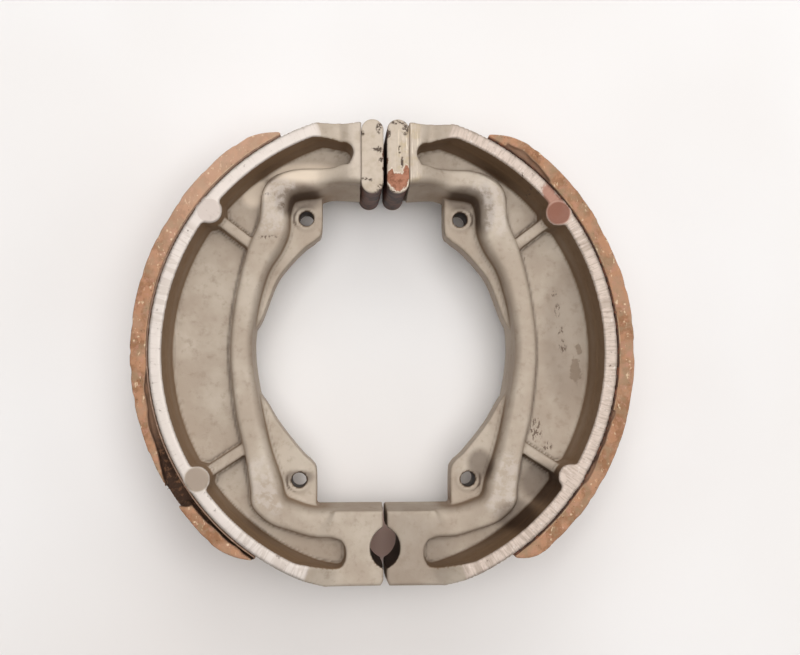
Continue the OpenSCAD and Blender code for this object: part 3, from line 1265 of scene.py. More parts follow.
class CamPlate(Solid):
    """Hardened plate with round ends that the cam bears on."""

    CHIPS = {
        Side.LEFT: (
            (6.1, 54.5, 1.1, 1.0), (1.5, 55.8, 1.0, 1.7), (2.4, 50.5, 1.8, 0.4), (1.5, 50.5, 0.8, 1.1),
            (1.2, 47.8, 0.7, 0.8), (5.2, 43.1, 1.0, 0.4), (3.6, 42.8, 0.8, 0.4), (1.3, 40.4, 1.0, 1.6),
        ),
        Side.RIGHT: (
            (3.3, 57.4, 2.4, 0.7), (5.0, 55.5, 1.0, 1.7), (0.7, 54.5, 0.8, 1.6),
            (3.6, 50.5, 0.4, 1.3), (4.2, 47.3, 0.4, 1.8),
        ),
    }
    BARE = ((3.3, 42.3, 2.9, 3.0), (5.3, 44.4, 1.1, 3.0), (1.4, 43.6, 1.4, 2.6))

    step = 0.28
    quick_step = 0.5

    def __init__(self, sizes: ShoeSizes, side: Side) -> None:
        """Sets the sizes that the plate is cut to.

        Args:
            sizes: The shoe's sizes.
            side: Which shoe of the pair it is.
        """
        self.sizes = sizes
        self.side = side
        self.seed = 23 if side is Side.RIGHT else 29

    def reach(self) -> tuple[Array, Array]:
        """Finds the space that holds the plate.

        Returns:
            Its lowest and highest corner.
        """
        s = self.sizes
        low = np.array([s.plate_x, s.plate_top - s.plate_l, 0.0])
        return low, np.array([s.plate_back, s.plate_top, s.width])

    def distance(self, x: Array, y: Array, z: Array) -> Array:
        """Measures the distance to the plate's surface.

        Args:
            x: The points' x values, in millimetres.
            y: The points' y values.
            z: The points' heights.

        Returns:
            The distances, negative inside.
        """
        s = self.sizes
        plan = self.plan(x, y)
        rough = lumps(x, y, z, 1.3, self.seed)
        edge = 0.12 + (0.25 + 0.2 * rough) * (1 - smoothstep(s.plate_back - 1.6, s.plate_back - 0.8, x))
        return round_cut(plan + 0.02, np.abs(z - s.mid) - s.mid + 0.02, edge)

    def plan(self, x: Array, y: Array) -> Array:
        """Measures the distance to the plate's round-ended outline.

        Args:
            x: The points' x values, in millimetres.
            y: The points' y values.

        Returns:
            The distances, negative inside.
        """
        s = self.sizes
        radius = s.plate_t / 2
        middle = s.plate_top - s.plate_l / 2
        along = np.maximum(np.abs(y - middle) - s.plate_l / 2 + radius, 0)
        return np.hypot(x - s.plate_x - radius, along) - radius

    def relief(self, x: Array, y: Array, z: Array) -> Array:
        """Light waviness of the plate's faces."""
        return -0.03 * (lumps(x, y, z, 4.0, self.seed + 2) * 0.5 + 0.5)

    def marks(self, skin: Skin) -> dict[str, Array]:
        """Finds the film left on the top and bottom faces, its border and its chips.

        Args:
            skin: The plate's surface.

        Returns:
            The values that the finish reads, by name.
        """
        s = self.sizes
        x, y, z = skin.points.T
        film = smoothstep(s.mid - 1.2, s.mid - 0.4, np.abs(z - s.mid))
        border = (1 - smoothstep(0.0, 1.2, -self.plan(x, y))) * (1 - smoothstep(2.0, 4.4, x))
        upper = smoothstep(s.mid, s.mid + 1, z)
        marks = {"film": film, "border": border, "chips": spots(x, y, self.CHIPS[self.side]) * upper}
        if self.side is Side.RIGHT:
            marks["bare"] = spots(x, y, self.BARE) * upper
        return marks


# --------------------------------------------------------------------------- shader maths


class Value:
    """A shader socket that takes part in ordinary arithmetic."""

    def __init__(self, tree: "Tree", socket: bpy.types.NodeSocket) -> None:
        """Wraps one output socket of a node."""
        self.tree = tree
        self.socket = socket

    def maths(self, operation: str, *others: "float | Value", clamp: bool = False) -> "Value":
        """Adds one Math node that starts from this value.

        Args:
            operation: The Math node's operation.
            others: The other inputs, in order.
            clamp: Whether the result is kept between 0 and 1.

        Returns:
            The node's result.
        """
        settings = {"operation": operation, "use_clamp": clamp}
        return self.tree.add("ShaderNodeMath", settings, dict(enumerate((self, *others))))

    def __add__(self, other: "float | Value") -> "Value":
        """Sum."""
        return self.maths("ADD", other)

    __radd__ = __add__

    def __mul__(self, other: "float | Value") -> "Value":
        """Product."""
        return self.maths("MULTIPLY", other)

    __rmul__ = __mul__

    def __sub__(self, other: "float | Value") -> "Value":
        """Difference."""
        return self.maths("SUBTRACT", other)

    def __rsub__(self, other: float) -> "Value":
        """Difference from a number."""
        return self.maths("MULTIPLY_ADD", -1.0, other)

    def __truediv__(self, other: "float | Value") -> "Value":
        """Quotient."""
        return self.maths("DIVIDE", other)

    def __pow__(self, other: float) -> "Value":
        """Power."""
        return self.maths("POWER", other)

    def ease(self, low: float, high: float) -> "Value":
        """Eases from 0 at low to 1 at high.

        Args:
            low: Value that gives 0.
            high: Value that gives 1.

        Returns:
            The eased value.
        """
        settings = {"interpolation_type": "SMOOTHSTEP"}
        inputs = {"Value": self, "From Min": low, "From Max": high, "To Min": 0.0, "To Max": 1.0}
        return self.tree.add("ShaderNodeMapRange", settings, inputs)


class Tree:
    """The node tree of one material."""

    def __init__(self, name: str) -> None:
        """Makes an empty material.

        Args:
            name: The material's name.
        """
        self.material = bpy.data.materials.new(name)
        self.material.use_nodes = True
        self.nodes = self.material.node_tree.nodes
        self.links = self.material.node_tree.links
        self.nodes.clear()

    def add(self, kind: str, settings: dict, inputs: dict, output: int | str = 0) -> Value:
        """Adds one node.

        Args:
            kind: The node's type.
            settings: Its properties, set first.
            inputs: A value or link for each socket, by name or number.
            output: Which output to return.

        Returns:
            The chosen output.
        """
        node = self.nodes.new(kind)
        for key, value in settings.items():
            setattr(node, key, value)
        for key, value in inputs.items():
            if isinstance(value, Value):
                self.links.new(value.socket, node.inputs[key])
            elif isinstance(value, tuple) and len(node.inputs[key].default_value) == 4:
                node.inputs[key].default_value = (*value, 1.0)
            else:
                node.inputs[key].default_value = value
        return Value(self, node.outputs[output])

    def mark(self, name: str) -> Value:
        """Reads a value that the mesh carries on its points."""
        return self.add("ShaderNodeAttribute", {"attribute_name": name}, {}, "Fac")

    def place(self) -> Value:
        """Position in the object's own space, in metres."""
        return self.add("ShaderNodeTexCoord", {}, {}, "Object")

    def stretch(self, vector: Value, scale: tuple[float, float, float]) -> Value:
        """Scales a position by a different amount along each axis."""
        return self.add("ShaderNodeVectorMath", {"operation": "MULTIPLY"}, {0: vector, 1: scale})

    def noise(self, vector: Value, size: float, detail: float = 3.0, rough: float = 0.55) -> Value:
        """Noise whose lumps are about size millimetres across, around 0.5.

        Args:
            vector: Position in metres.
            size: Width of a lump in millimetres.
            detail: How many finer layers are added.
            rough: Strength of the finer layers.

        Returns:
            The noise.
        """
        inputs = {"Vector": vector, "Scale": 1 / (size * MM), "Detail": detail, "Roughness": rough}
        return self.add("ShaderNodeTexNoise", {}, inputs, 0)

    def cells(self, vector: Value, size: float) -> Value:
        """Distance to scattered points about size millimetres apart."""
        return self.add("ShaderNodeTexVoronoi", {}, {"Vector": vector, "Scale": 1 / (size * MM)}, "Distance")

    def away(self, place: Value, middle: tuple[float, float, float]) -> Value:
        """Distance in metres from a point that is given in metres."""
        return self.add("ShaderNodeVectorMath", {"operation": "DISTANCE"}, {0: place, 1: middle}, "Value")

    def blend(self, factor: "float | Value", a: "Colour | Value", b: "Colour | Value") -> Value:
        """Mixes two colours.

        Args:
            factor: 0 gives the first colour and 1 the second.
            a: First colour.
            b: Second colour.

        Returns:
            The mixed colour.
        """
        settings = {"data_type": "RGBA", "clamp_factor": True}
        return self.add("ShaderNodeMix", settings, {0: factor, 6: a, 7: b}, 2)

    def bump(self, height: Value, strength: float, distance: float) -> Value:
        """Turns a height into a normal, with distance in millimetres."""
        inputs = {"Strength": strength, "Distance": distance * MM, "Height": height}
        return self.add("ShaderNodeBump", {}, inputs)

    def finish(self, **sockets: "float | Colour | Value") -> bpy.types.Material:
        """Joins a Principled shader to the output.

        Args:
            sockets: The shader's values, with underscores for spaces.

        Returns:
            The finished material.
        """
        inputs = {key.replace("_", " "): value for key, value in sockets.items()}
        shader = self.add("ShaderNodeBsdfPrincipled", {}, inputs)
        self.add_output(shader)
        return self.material

    def add_output(self, shader: Value) -> None:
        """Links a shader to the surface output."""
        node = self.nodes.new("ShaderNodeOutputMaterial")
        self.links.new(shader.socket, node.inputs["Surface"])


def srgb(red: int, green: int, blue: int) -> Colour:
    """Turns a display colour into linear light.

    Args:
        red: Red from 0 to 255.
        green: Green from 0 to 255.
        blue: Blue from 0 to 255.

    Returns:
        The three channels from 0 to 1.
    """
    out = []
    for channel in (red, green, blue):
        c = channel / 255
        out.append(c / 12.92 if c <= 0.04045 else ((c + 0.055) / 1.055) ** 2.4)
    return tuple(out)


# --------------------------------------------------------------------------- finishes


@dataclass(frozen=True)
class PlateFilm:
    """Beige film that covers the cam plate's end face and the wall behind it."""

    scraped: bool
    film: Colour = srgb(196, 183, 168)
    dull: Colour = srgb(178, 163, 144)
    cream: Colour = srgb(222, 210, 192)
    straw: Colour = srgb(196, 178, 146)

    def colour(self, tree: Tree, place: Value) -> tuple[Value, Value]:
        """Builds the film's colour.

        Args:
            tree: The material's nodes.
            place: Position in metres.

        Returns:
            The colour, and how high the scrapes in it stand.
        """
        clouds = tree.noise(place, 3.0, 4.0, 0.6)
        lines = tree.noise(tree.stretch(place, (1.0, 0.1, 0.1)), 0.45, 3.0, 0.65)
        paint = tree.blend(clouds.ease(0.4, 0.7) * 0.8, self.film, self.dull)
        if not self.scraped:
            return paint, clouds
        x = tree.add("ShaderNodeSeparateXYZ", {}, {0: place}, 0)
        where = x.ease(1.6 * MM, 4.4 * MM) * (1 - x.ease(8.2 * MM, 9.4 * MM))
        paint = tree.blend(clouds.ease(0.45, 0.6) * where * 0.5, paint, self.straw)
        paint = tree.blend(lines.ease(0.54, 0.62) * where * 0.6, paint, self.dull)
        return tree.blend((1 - lines).ease(0.55, 0.64) * where * 0.8, paint, self.cream), lines * where


@dataclass(frozen=True)
class CastNoises:
    """Noises that the layers of the casting's finish share, broadest first."""

    clouds: Value
    mottle: Value
    torn: Value
    nicks: Value


@dataclass(frozen=True)
class CastAluminium:
    """Satin die-cast aluminium with machined rim faces, oxide in its hollows, and painted shade and light on
    it.
    """

    name: str
    centre: float
    side: Side
    discs: list[tuple[float, float, float]]
    skin: Colour = srgb(172, 157, 141)
    pale: Colour = srgb(190, 178, 163)
    dull: Colour = srgb(148, 131, 114)
    # dark colour used both for oxide and for painted shade
    oxide_and_shade: Colour = srgb(66, 44, 27)
    # wall browns: partly the walls' own tone, partly painted shade; the darker one is the right shoe's
    # shaded copy
    umber: Colour = srgb(136, 108, 80)
    shaded_umber: Colour = srgb(124, 97, 70)
    shade_tone: Colour = srgb(128, 112, 98)
    # dark colour used for grime in the nicks and for painted shade in the holes
    grime_and_shade: Colour = srgb(48, 30, 20)
    bright: Colour = srgb(206, 197, 190)
    worn_bright: Colour = srgb(194, 179, 168)
    streak: Colour = srgb(158, 143, 130)
    nick: Colour = srgb(96, 76, 62)
    salmon: Colour = srgb(134, 86, 68)
    matt: Colour = srgb(158, 142, 127)
    olive: Colour = srgb(118, 98, 76)
    light_tone: Colour = srgb(226, 211, 192)
    ring: Colour = srgb(200, 162, 146)
    blush: Colour = srgb(176, 162, 154)
    rose: Colour = srgb(152, 106, 88)

    def material(self) -> bpy.types.Material:
        """Builds the finish.

        Returns:
            The material.
        """
        tree = Tree(self.name)
        place = tree.place()
        machined = tree.mark("machined")
        scratch = tree.noise(tree.stretch(place, (1.0, 0.45, 1.0)), 0.75, 3.0, 0.7)
        noises = CastNoises(
            tree.noise(place, 14.0, 4.0, 0.6),
            tree.noise(place, 2.2, 5.0, 0.65),
            tree.noise(place, 1.1, 4.0, 0.7),
            tree.mark("nicks").ease(0.0, 0.5) * scratch.ease(0.5, 0.58),
        )
        mottle, torn, nicks = noises.mottle, noises.torn, noises.nicks
        colour = tree.blend(nicks * 0.85, self.cast_skin(tree, noises), self.nick)

        marks, bands = self.tool_marks(tree, place)
        chatter = tree.mark("chatter") * bands.ease(0.48, 0.56)
        face = machined * (torn + machined * 0.5).ease(0.6, 0.72)
        polish = tree.mark("ground") * mottle.ease(0.38, 0.6)
        colour = tree.blend(polish * 0.45, colour, self.bright)
        colour = tree.blend(face, colour, self.metal(tree, noises, marks, chatter))

        coat, ridges = PlateFilm(self.side is Side.RIGHT).colour(tree, place)
        coated = tree.mark("film") * (mottle * 0.3 + 0.75)
        colour = tree.blend(coated, colour, coat)
        colour, stained = self.boss_tops(tree, place, noises, colour)

        clean = ((face + polish * 0.4) * (1 - coated) * stained).maths("MINIMUM", 1.0)
        height = tree.noise(place, 0.35, 3.0, 0.6) * 0.5 + mottle * 0.35 - nicks * 0.6
        height = height * (1 - face * 0.7) + (marks * 0.4 - chatter * 0.3 - torn.ease(0.63, 0.72)) * clean
        height = height + ridges * coated * 0.4
        return tree.finish(
            Base_Color=colour,
            Metallic=clean * 0.25 + 0.3,
            Roughness=(0.56 - clean * 0.08) + mottle * 0.12,
            Normal=tree.bump(height, 0.5, 0.12),
        )

    def cast_skin(self, tree: Tree, noises: CastNoises) -> Value:
        """Builds the colour of the cast surfaces, with the oxide and dirt on them and the painted shade and
        light.

        Args:
            tree: The material's nodes.
            noises: The finish's shared noises.

        Returns:
            The colour.
        """
        hollow, crest, wall = tree.mark("hollow"), tree.mark("crest"), tree.mark("wall")
        mottle = noises.mottle
        cast = tree.blend(noises.clouds.ease(0.35, 0.68), self.skin, self.pale)
        cast = tree.blend(mottle.ease(0.5, 0.78) * 0.6, cast, self.dull)
        cast = tree.blend((crest.ease(0.25, 0.8) * mottle.ease(0.3, 0.6)) * 0.5, cast, self.pale)
        if self.side is Side.RIGHT:
            near = tree.mark("patch")
            patch = (near * 1.2 + noises.torn + mottle).ease(1.3, 1.6) * near.ease(0.0, 0.15)
            cast = tree.blend(patch * 0.65, cast, self.olive)
            # painted shade on the right shoe's anchor block and mid floor
            cast = tree.blend(tree.mark("dusk") * 0.45, cast, self.shade_tone)
        # oxide and dirt in the hollows, deepened into painted contact shade along the floor's corners and
        # the rib's foot
        dirt_and_contact_shade = (hollow.ease(0.42, 0.86) * (mottle * 0.6 + 0.6)) * 0.8
        dirt_and_contact_shade = dirt_and_contact_shade.maths("MAXIMUM", tree.mark("foot") * (mottle.ease(0.3, 0.6) * 0.2 + 0.4))
        cast = tree.blend(dirt_and_contact_shade, cast, self.oxide_and_shade)
        brown = self.shaded_umber if self.side is Side.RIGHT else self.umber
        # painted shade: steep walls are browned, more so in hollows, and the rim's inner walls most of all
        cast = tree.blend(wall * (hollow.ease(0.0, 0.35) * 0.45 + 0.25), cast, brown)
        cast = tree.blend(tree.mark("shade") * (mottle * 0.3 + 0.72), cast, brown)
        # painted light on the left shoe's upper pocket floor
        if self.side is Side.LEFT:
            cast = tree.blend(tree.mark("painted_light").ease(0.0, 0.5) * (1 - wall) * 0.8, cast, self.light_tone)
        # painted shade: the recess patches take the dark colour
        cast = tree.blend(tree.mark("recess_shade").ease(0.0, 0.5) * (wall * 0.3 + 0.55), cast, self.oxide_and_shade)
        # grime and painted shade: the walls of the pin seat and spring holes take the dark colour, standing
        # in for the shade inside them
        return tree.blend(tree.mark("bore") * wall * 0.9, cast, self.grime_and_shade)

    def metal(self, tree: Tree, noises: CastNoises, marks: Value, chatter: Value) -> Value:
        """Builds the colour of the machined faces.

        Args:
            tree: The material's nodes.
            noises: The finish's shared noises.
            marks: Fine tool marks.
            chatter: Where the tool chattered.

        Returns:
            The colour.
        """
        torn = noises.torn
        if self.side is Side.RIGHT:
            fine = marks.ease(0.46, 0.6) * (noises.clouds * 1.1)
            metal = tree.blend(fine, self.worn_bright, self.streak)
            metal = tree.blend(torn.ease(0.3, 0.42), self.bright, metal)
        else:
            metal = tree.blend(marks.ease(0.54, 0.7) * (noises.clouds * 0.5), self.bright, self.streak)
        metal = tree.blend(chatter * (0.55 if self.side is Side.RIGHT else 0.3), metal, self.streak)
        metal = tree.blend(torn.ease(0.63, 0.72) * 0.7, metal, self.nick)
        return tree.blend(noises.nicks * 0.95, metal, self.grime_and_shade)

    def boss_tops(self, tree: Tree, place: Value, noises: CastNoises, colour: Value) -> tuple[Value, Value]:
        """Stains the round tops of the bosses: salmon on the right shoe, matt and pink on the left.

        Args:
            tree: The material's nodes.
            place: Position in metres.
            noises: The finish's shared noises.
            colour: The colour under the stains.

        Returns:
            The colour with the stains, and where the surface is free of them.
        """
        machined = tree.mark("machined")
        top_spot, top_ring = self.disc(tree, place, self.discs[0], noises.mottle, machined)
        low_spot, low_ring = self.disc(tree, place, self.discs[1], noises.mottle, machined)
        spot, ring, over, border = low_spot, low_ring, self.matt, self.pale
        if self.side is Side.RIGHT:
            spot, ring, over, border = top_spot, top_ring, self.salmon, self.ring
            near = tree.mark("stain")
            trail = (near + (noises.torn - 0.5) * 0.8).ease(0.0, 0.35) * near.ease(0.0, 0.04)
            colour = tree.blend(trail * 0.85, colour, self.rose)
        colour = tree.blend(spot * 0.94, colour, over)
        colour = tree.blend(ring * 0.4, colour, border)
        if self.side is Side.LEFT:
            colour = tree.blend(top_spot * 0.5, colour, self.blush)
        return colour, (1 - spot) * (1 - ring)

    def disc(
        self, tree: Tree, place: Value, centre: tuple[float, float, float], mottle: Value, machined: Value
    ) -> tuple[Value, Value]:
        """Finds the round top of a boss and its border.

        Args:
            tree: The material's nodes.
            place: Position in metres.
            centre: Middle of the boss's top, in metres.
            mottle: Noise that makes the border uneven.
            machined: Where the surface is machined.

        Returns:
            The disc and its border.
        """
        away = tree.away(place, centre) + (mottle - 0.5) * 0.5 * MM
        border = away.ease(2.6 * MM, 2.9 * MM) * (1 - away.ease(3.1 * MM, 3.35 * MM))
        return (1 - away.ease(2.85 * MM, 3.05 * MM)) * machined, border * machined

    def tool_marks(self, tree: Tree, place: Value) -> tuple[Value, Value]:
        """Fine lines and broader chatter bands across the machined faces.

        Args:
            tree: The material's nodes.
            place: Position in metres.

        Returns:
            Two noises drawn out along the shoe's radius, the fine one first.
        """
        x = tree.add("ShaderNodeSeparateXYZ", {}, {0: place}, 0)
        y = tree.add("ShaderNodeSeparateXYZ", {}, {0: place}, 1)
        across = x - self.centre
        angle = y.maths("ARCTAN2", across)
        radius = (across * across + y * y) ** 0.5
        polar = tree.add("ShaderNodeCombineXYZ", {}, {0: angle * 0.06, 1: radius * 0.12, 2: 0.0})
        return tree.noise(polar, 0.5, 3.0, 0.6), tree.noise(polar, 1.3, 2.0, 0.6)


@dataclass(frozen=True)
class FrictionMaterial:
    """Moulded friction material: tan-brown, gritty, with pale flecks."""

    name: str
    tan: Colour = srgb(176, 138, 110)
    brown: Colour = srgb(150, 108, 78)
    rosy: Colour = srgb(186, 138, 118)
    pale: Colour = srgb(226, 204, 172)
    orange: Colour = srgb(186, 138, 106)
    olive: Colour = srgb(154, 130, 102)
    dark: Colour = srgb(62, 42, 30)
    torn: Colour = srgb(134, 104, 84)
    paler_top: Colour = srgb(206, 170, 146)
    rubbed: Colour = srgb(140, 112, 92)

    def material(self) -> bpy.types.Material:
        """Builds the finish.

        Returns:
            The material.
        """
        tree = Tree(self.name)
        place = tree.place()
        broken, crest, face = tree.mark("broken"), tree.mark("crest"), tree.mark("face")
        clouds = tree.noise(place, 6.0, 4.0, 0.6)
        drift = tree.noise(tree.stretch(place, (1.0, 0.8, 0.6)), 3.4, 3.0, 0.6)
        mottle = tree.noise(place, 1.3, 5.0, 0.7)
        grit = tree.noise(place, 0.3, 2.0, 0.6)
        colour = tree.blend(clouds.ease(0.38, 0.62), self.tan, self.brown)
        colour = tree.blend(drift.ease(0.5, 0.6) * 0.7, colour, self.orange)
        colour = tree.blend((1 - drift).ease(0.52, 0.62) * 0.6, colour, self.olive)
        colour = tree.blend(mottle.ease(0.5, 0.66) * 0.65, colour, self.rosy)
        shreds = tree.noise(tree.stretch(place, (1.0, 0.5, 0.5)), 0.9, 3.0, 0.6)
        colour = tree.blend(shreds.ease(0.62, 0.7) * 0.7, colour, self.pale)
        colour = tree.blend(tree.mark("paler_top") * 0.55, colour, self.paler_top)
        specks = 1 - tree.cells(place, 1.9).ease(0.1, 0.2)
        flecks = specks * mottle.ease(0.44, 0.56)
        colour = tree.blend(flecks * 0.85, colour, self.pale)
        pits = (1 - tree.cells(place, 1.1).ease(0.1, 0.2)) * (1 - mottle).ease(0.5, 0.62)
        colour = tree.blend(pits * 0.6, colour, self.dark)
        edge = crest.ease(0.35, 0.8) * clouds.ease(0.44, 0.6)
        colour = tree.blend(edge * 0.45, colour, self.pale)
        colour = tree.blend(face * 0.5, colour, self.rubbed)
        lost = tree.blend(tree.mark("deep"), self.torn, self.dark)
        lost = tree.blend(mottle.ease(0.5, 0.7) * 0.6, lost, self.brown)
        colour = tree.blend(broken, colour, lost)
        height = mottle * 0.7 + grit * 0.3 - pits * 0.4
        return tree.finish(
            Base_Color=colour,
            Metallic=0.0,
            Roughness=mottle * 0.2 + 0.72,
            Specular_IOR_Level=0.3,
            Normal=tree.bump(height, 0.7, 0.3),
        )


@dataclass(frozen=True)
class CuredAdhesive:
    """Cured adhesive squeezed along the joint."""

    name: str
    dark: Colour
    rust: Colour

    def material(self) -> bpy.types.Material:
        """Builds the finish.

        Returns:
            The material.
        """
        tree = Tree(self.name)
        place = tree.place()
        mottle = tree.noise(place, 1.6, 4.0, 0.6)
        colour = tree.blend(mottle.ease(0.5, 0.68), self.dark, self.rust)
        return tree.finish(
            Base_Color=colour,
            Roughness=mottle * 0.3 + 0.45,
            Normal=tree.bump(mottle, 0.5, 0.15),
        )


@dataclass(frozen=True)
class PlateSteel:
    """Dark hardened steel whose end faces still wear a chipped beige film."""

    name: str
    side: Side
    steel: Colour = srgb(98, 58, 42)
    steel_dark: Colour = srgb(46, 26, 19)
    chip: Colour = srgb(70, 54, 44)
    copper: Colour = srgb(132, 86, 64)
    rosy: Colour = srgb(172, 120, 96)
    lifted: Colour = srgb(226, 214, 198)

    def material(self) -> bpy.types.Material:
        """Builds the finish.

        Returns:
            The material.
        """
        tree = Tree(self.name)
        place = tree.place()
        film, border = tree.mark("film"), tree.mark("border")
        clouds = tree.noise(place, 3.0, 4.0, 0.6)
        flakes = tree.noise(place, 1.1, 5.0, 0.7)
        steel = tree.blend(clouds.ease(0.4, 0.62), self.steel, self.steel_dark)
        scraped = self.side is Side.RIGHT
        paint, ridges = PlateFilm(scraped).colour(tree, place)
        chips = tree.mark("chips").ease(0.0, 0.35) * flakes.ease(0.44, 0.5)
        paint = tree.blend(chips * 0.9, paint, self.chip)
        stays = film * (1 - (border * 0.3 + flakes).ease(0.82, 0.86))
        height = flakes * 0.2 + ridges * 0.3 - chips * 0.5 + stays * 0.5
        if scraped:
            paint, bare = self.bare_patch(tree, place, paint, flakes)
            height = height - bare * 0.6
        return tree.finish(
            Base_Color=tree.blend(stays, steel, paint),
            Metallic=0.08 + stays * 0.2,
            Roughness=stays * 0.06 + 0.48 + flakes * 0.1,
            Specular_IOR_Level=0.25,
            Normal=tree.bump(height, 0.5, 0.15),
        )

    def bare_patch(self, tree: Tree, place: Value, paint: Value, flakes: Value) -> tuple[Value, Value]:
        """Shows bare copper-red metal with a lifted border near the plate's lower end.

        Args:
            tree: The material's nodes.
            place: Position in metres.
            paint: Colour of the film around the patch.
            flakes: Noise that breaks the patch's border.

        Returns:
            The colour with the patch, and where the metal is bare.
        """
        drawn = tree.noise(tree.stretch(place, (1.0, 0.3, 0.3)), 0.5, 5.0, 0.7)
        near = tree.mark("bare")
        bare = near + (drawn - 0.5) * 0.8 + (flakes - 0.5) * 0.4
        paint = tree.blend(bare.ease(0.1, 0.16) * near.ease(0.0, 0.05) * 0.7, paint, self.lifted)
        metal = tree.blend(flakes.ease(0.35, 0.65), self.copper, self.rosy)
        share = bare.ease(0.2, 0.32)
        return tree.blend(share, paint, metal), share


@dataclass(frozen=True)
class PaleSurface:
    """Smooth off-white board that the pair lies on, with painted shade towards the lower left and a painted
    warm bounce under the pin seat.
    """

    name: str
    pin_y: float
    white: Colour = srgb(243, 242, 242)
    warm: Colour = srgb(240, 238, 237)
    shade_grey: Colour = srgb(222, 217, 214)
    blush: Colour = srgb(230, 194, 180)
    shade_centre: tuple[float, float, float] = (-0.03, -0.14, 0.0)

    def material(self) -> bpy.types.Material:
        """Builds the finish.

        Returns:
            The material.
        """
        tree = Tree(self.name)
        place = tree.place()
        clouds = tree.noise(place, 90.0, 2.0, 0.5)
        colour = tree.blend(clouds.ease(0.35, 0.65), self.white, self.warm)
        # painted shade: the board turns grey around a point below and left of the hub
        floor_shade = 1 - tree.away(place, self.shade_centre).ease(0.03, 0.15)
        colour = tree.blend(floor_shade * 0.8, colour, self.shade_grey)
        # painted bounce light: a warm pinkish patch on the board under the pin seat, seen through the hole
        painted_bounce = 1 - tree.away(place, (0.0, self.pin_y * MM, 0.0)).ease(5 * MM, 8.5 * MM)
        colour = tree.blend(painted_bounce * 0.85, colour, self.blush)
        return tree.finish(Base_Color=colour, Roughness=0.7, Specular_IOR_Level=0.2)


# --------------------------------------------------------------------------- sub-assemblies


# how far the adhesive stays back from the faces, at most and at its two radii, and its two colours
BOND_SAG = {Side.LEFT: 0.1, Side.RIGHT: 0.28}
BOND_INSET = 0.02
BOND_COLOURS = {
    Side.LEFT: (srgb(136, 108, 90), srgb(164, 136, 116)),
    Side.RIGHT: (srgb(70, 44, 30), srgb(128, 76, 52)),
}


def strip_faces(rows: int, columns: int) -> Array:
    """Joins rows of points that run round a closed strip, and caps its two ends.

    Args:
        rows: How many rows run round the section.
        columns: How many points each row has.

    Returns:
        The four point numbers of every face.
    """
    number = np.arange(rows * columns).reshape(rows, columns)
    below = np.roll(number, -1, axis=0)
    quads = np.stack([number[:, :-1], number[:, 1:], below[:, 1:], below[:, :-1]], axis=-1)
    faces = quads.reshape(-1, 4)
    half = rows // 2
    for column, flip in ((0, 1), (columns - 1, -1)):
        inner, outer = number[:half, column], number[half:, column][::-1]
        cap = np.stack([inner[:-1], inner[1:], outer[1:], outer[:-1]], axis=1)
        faces = np.concatenate([faces, cap[:, ::-flip]])
    return faces


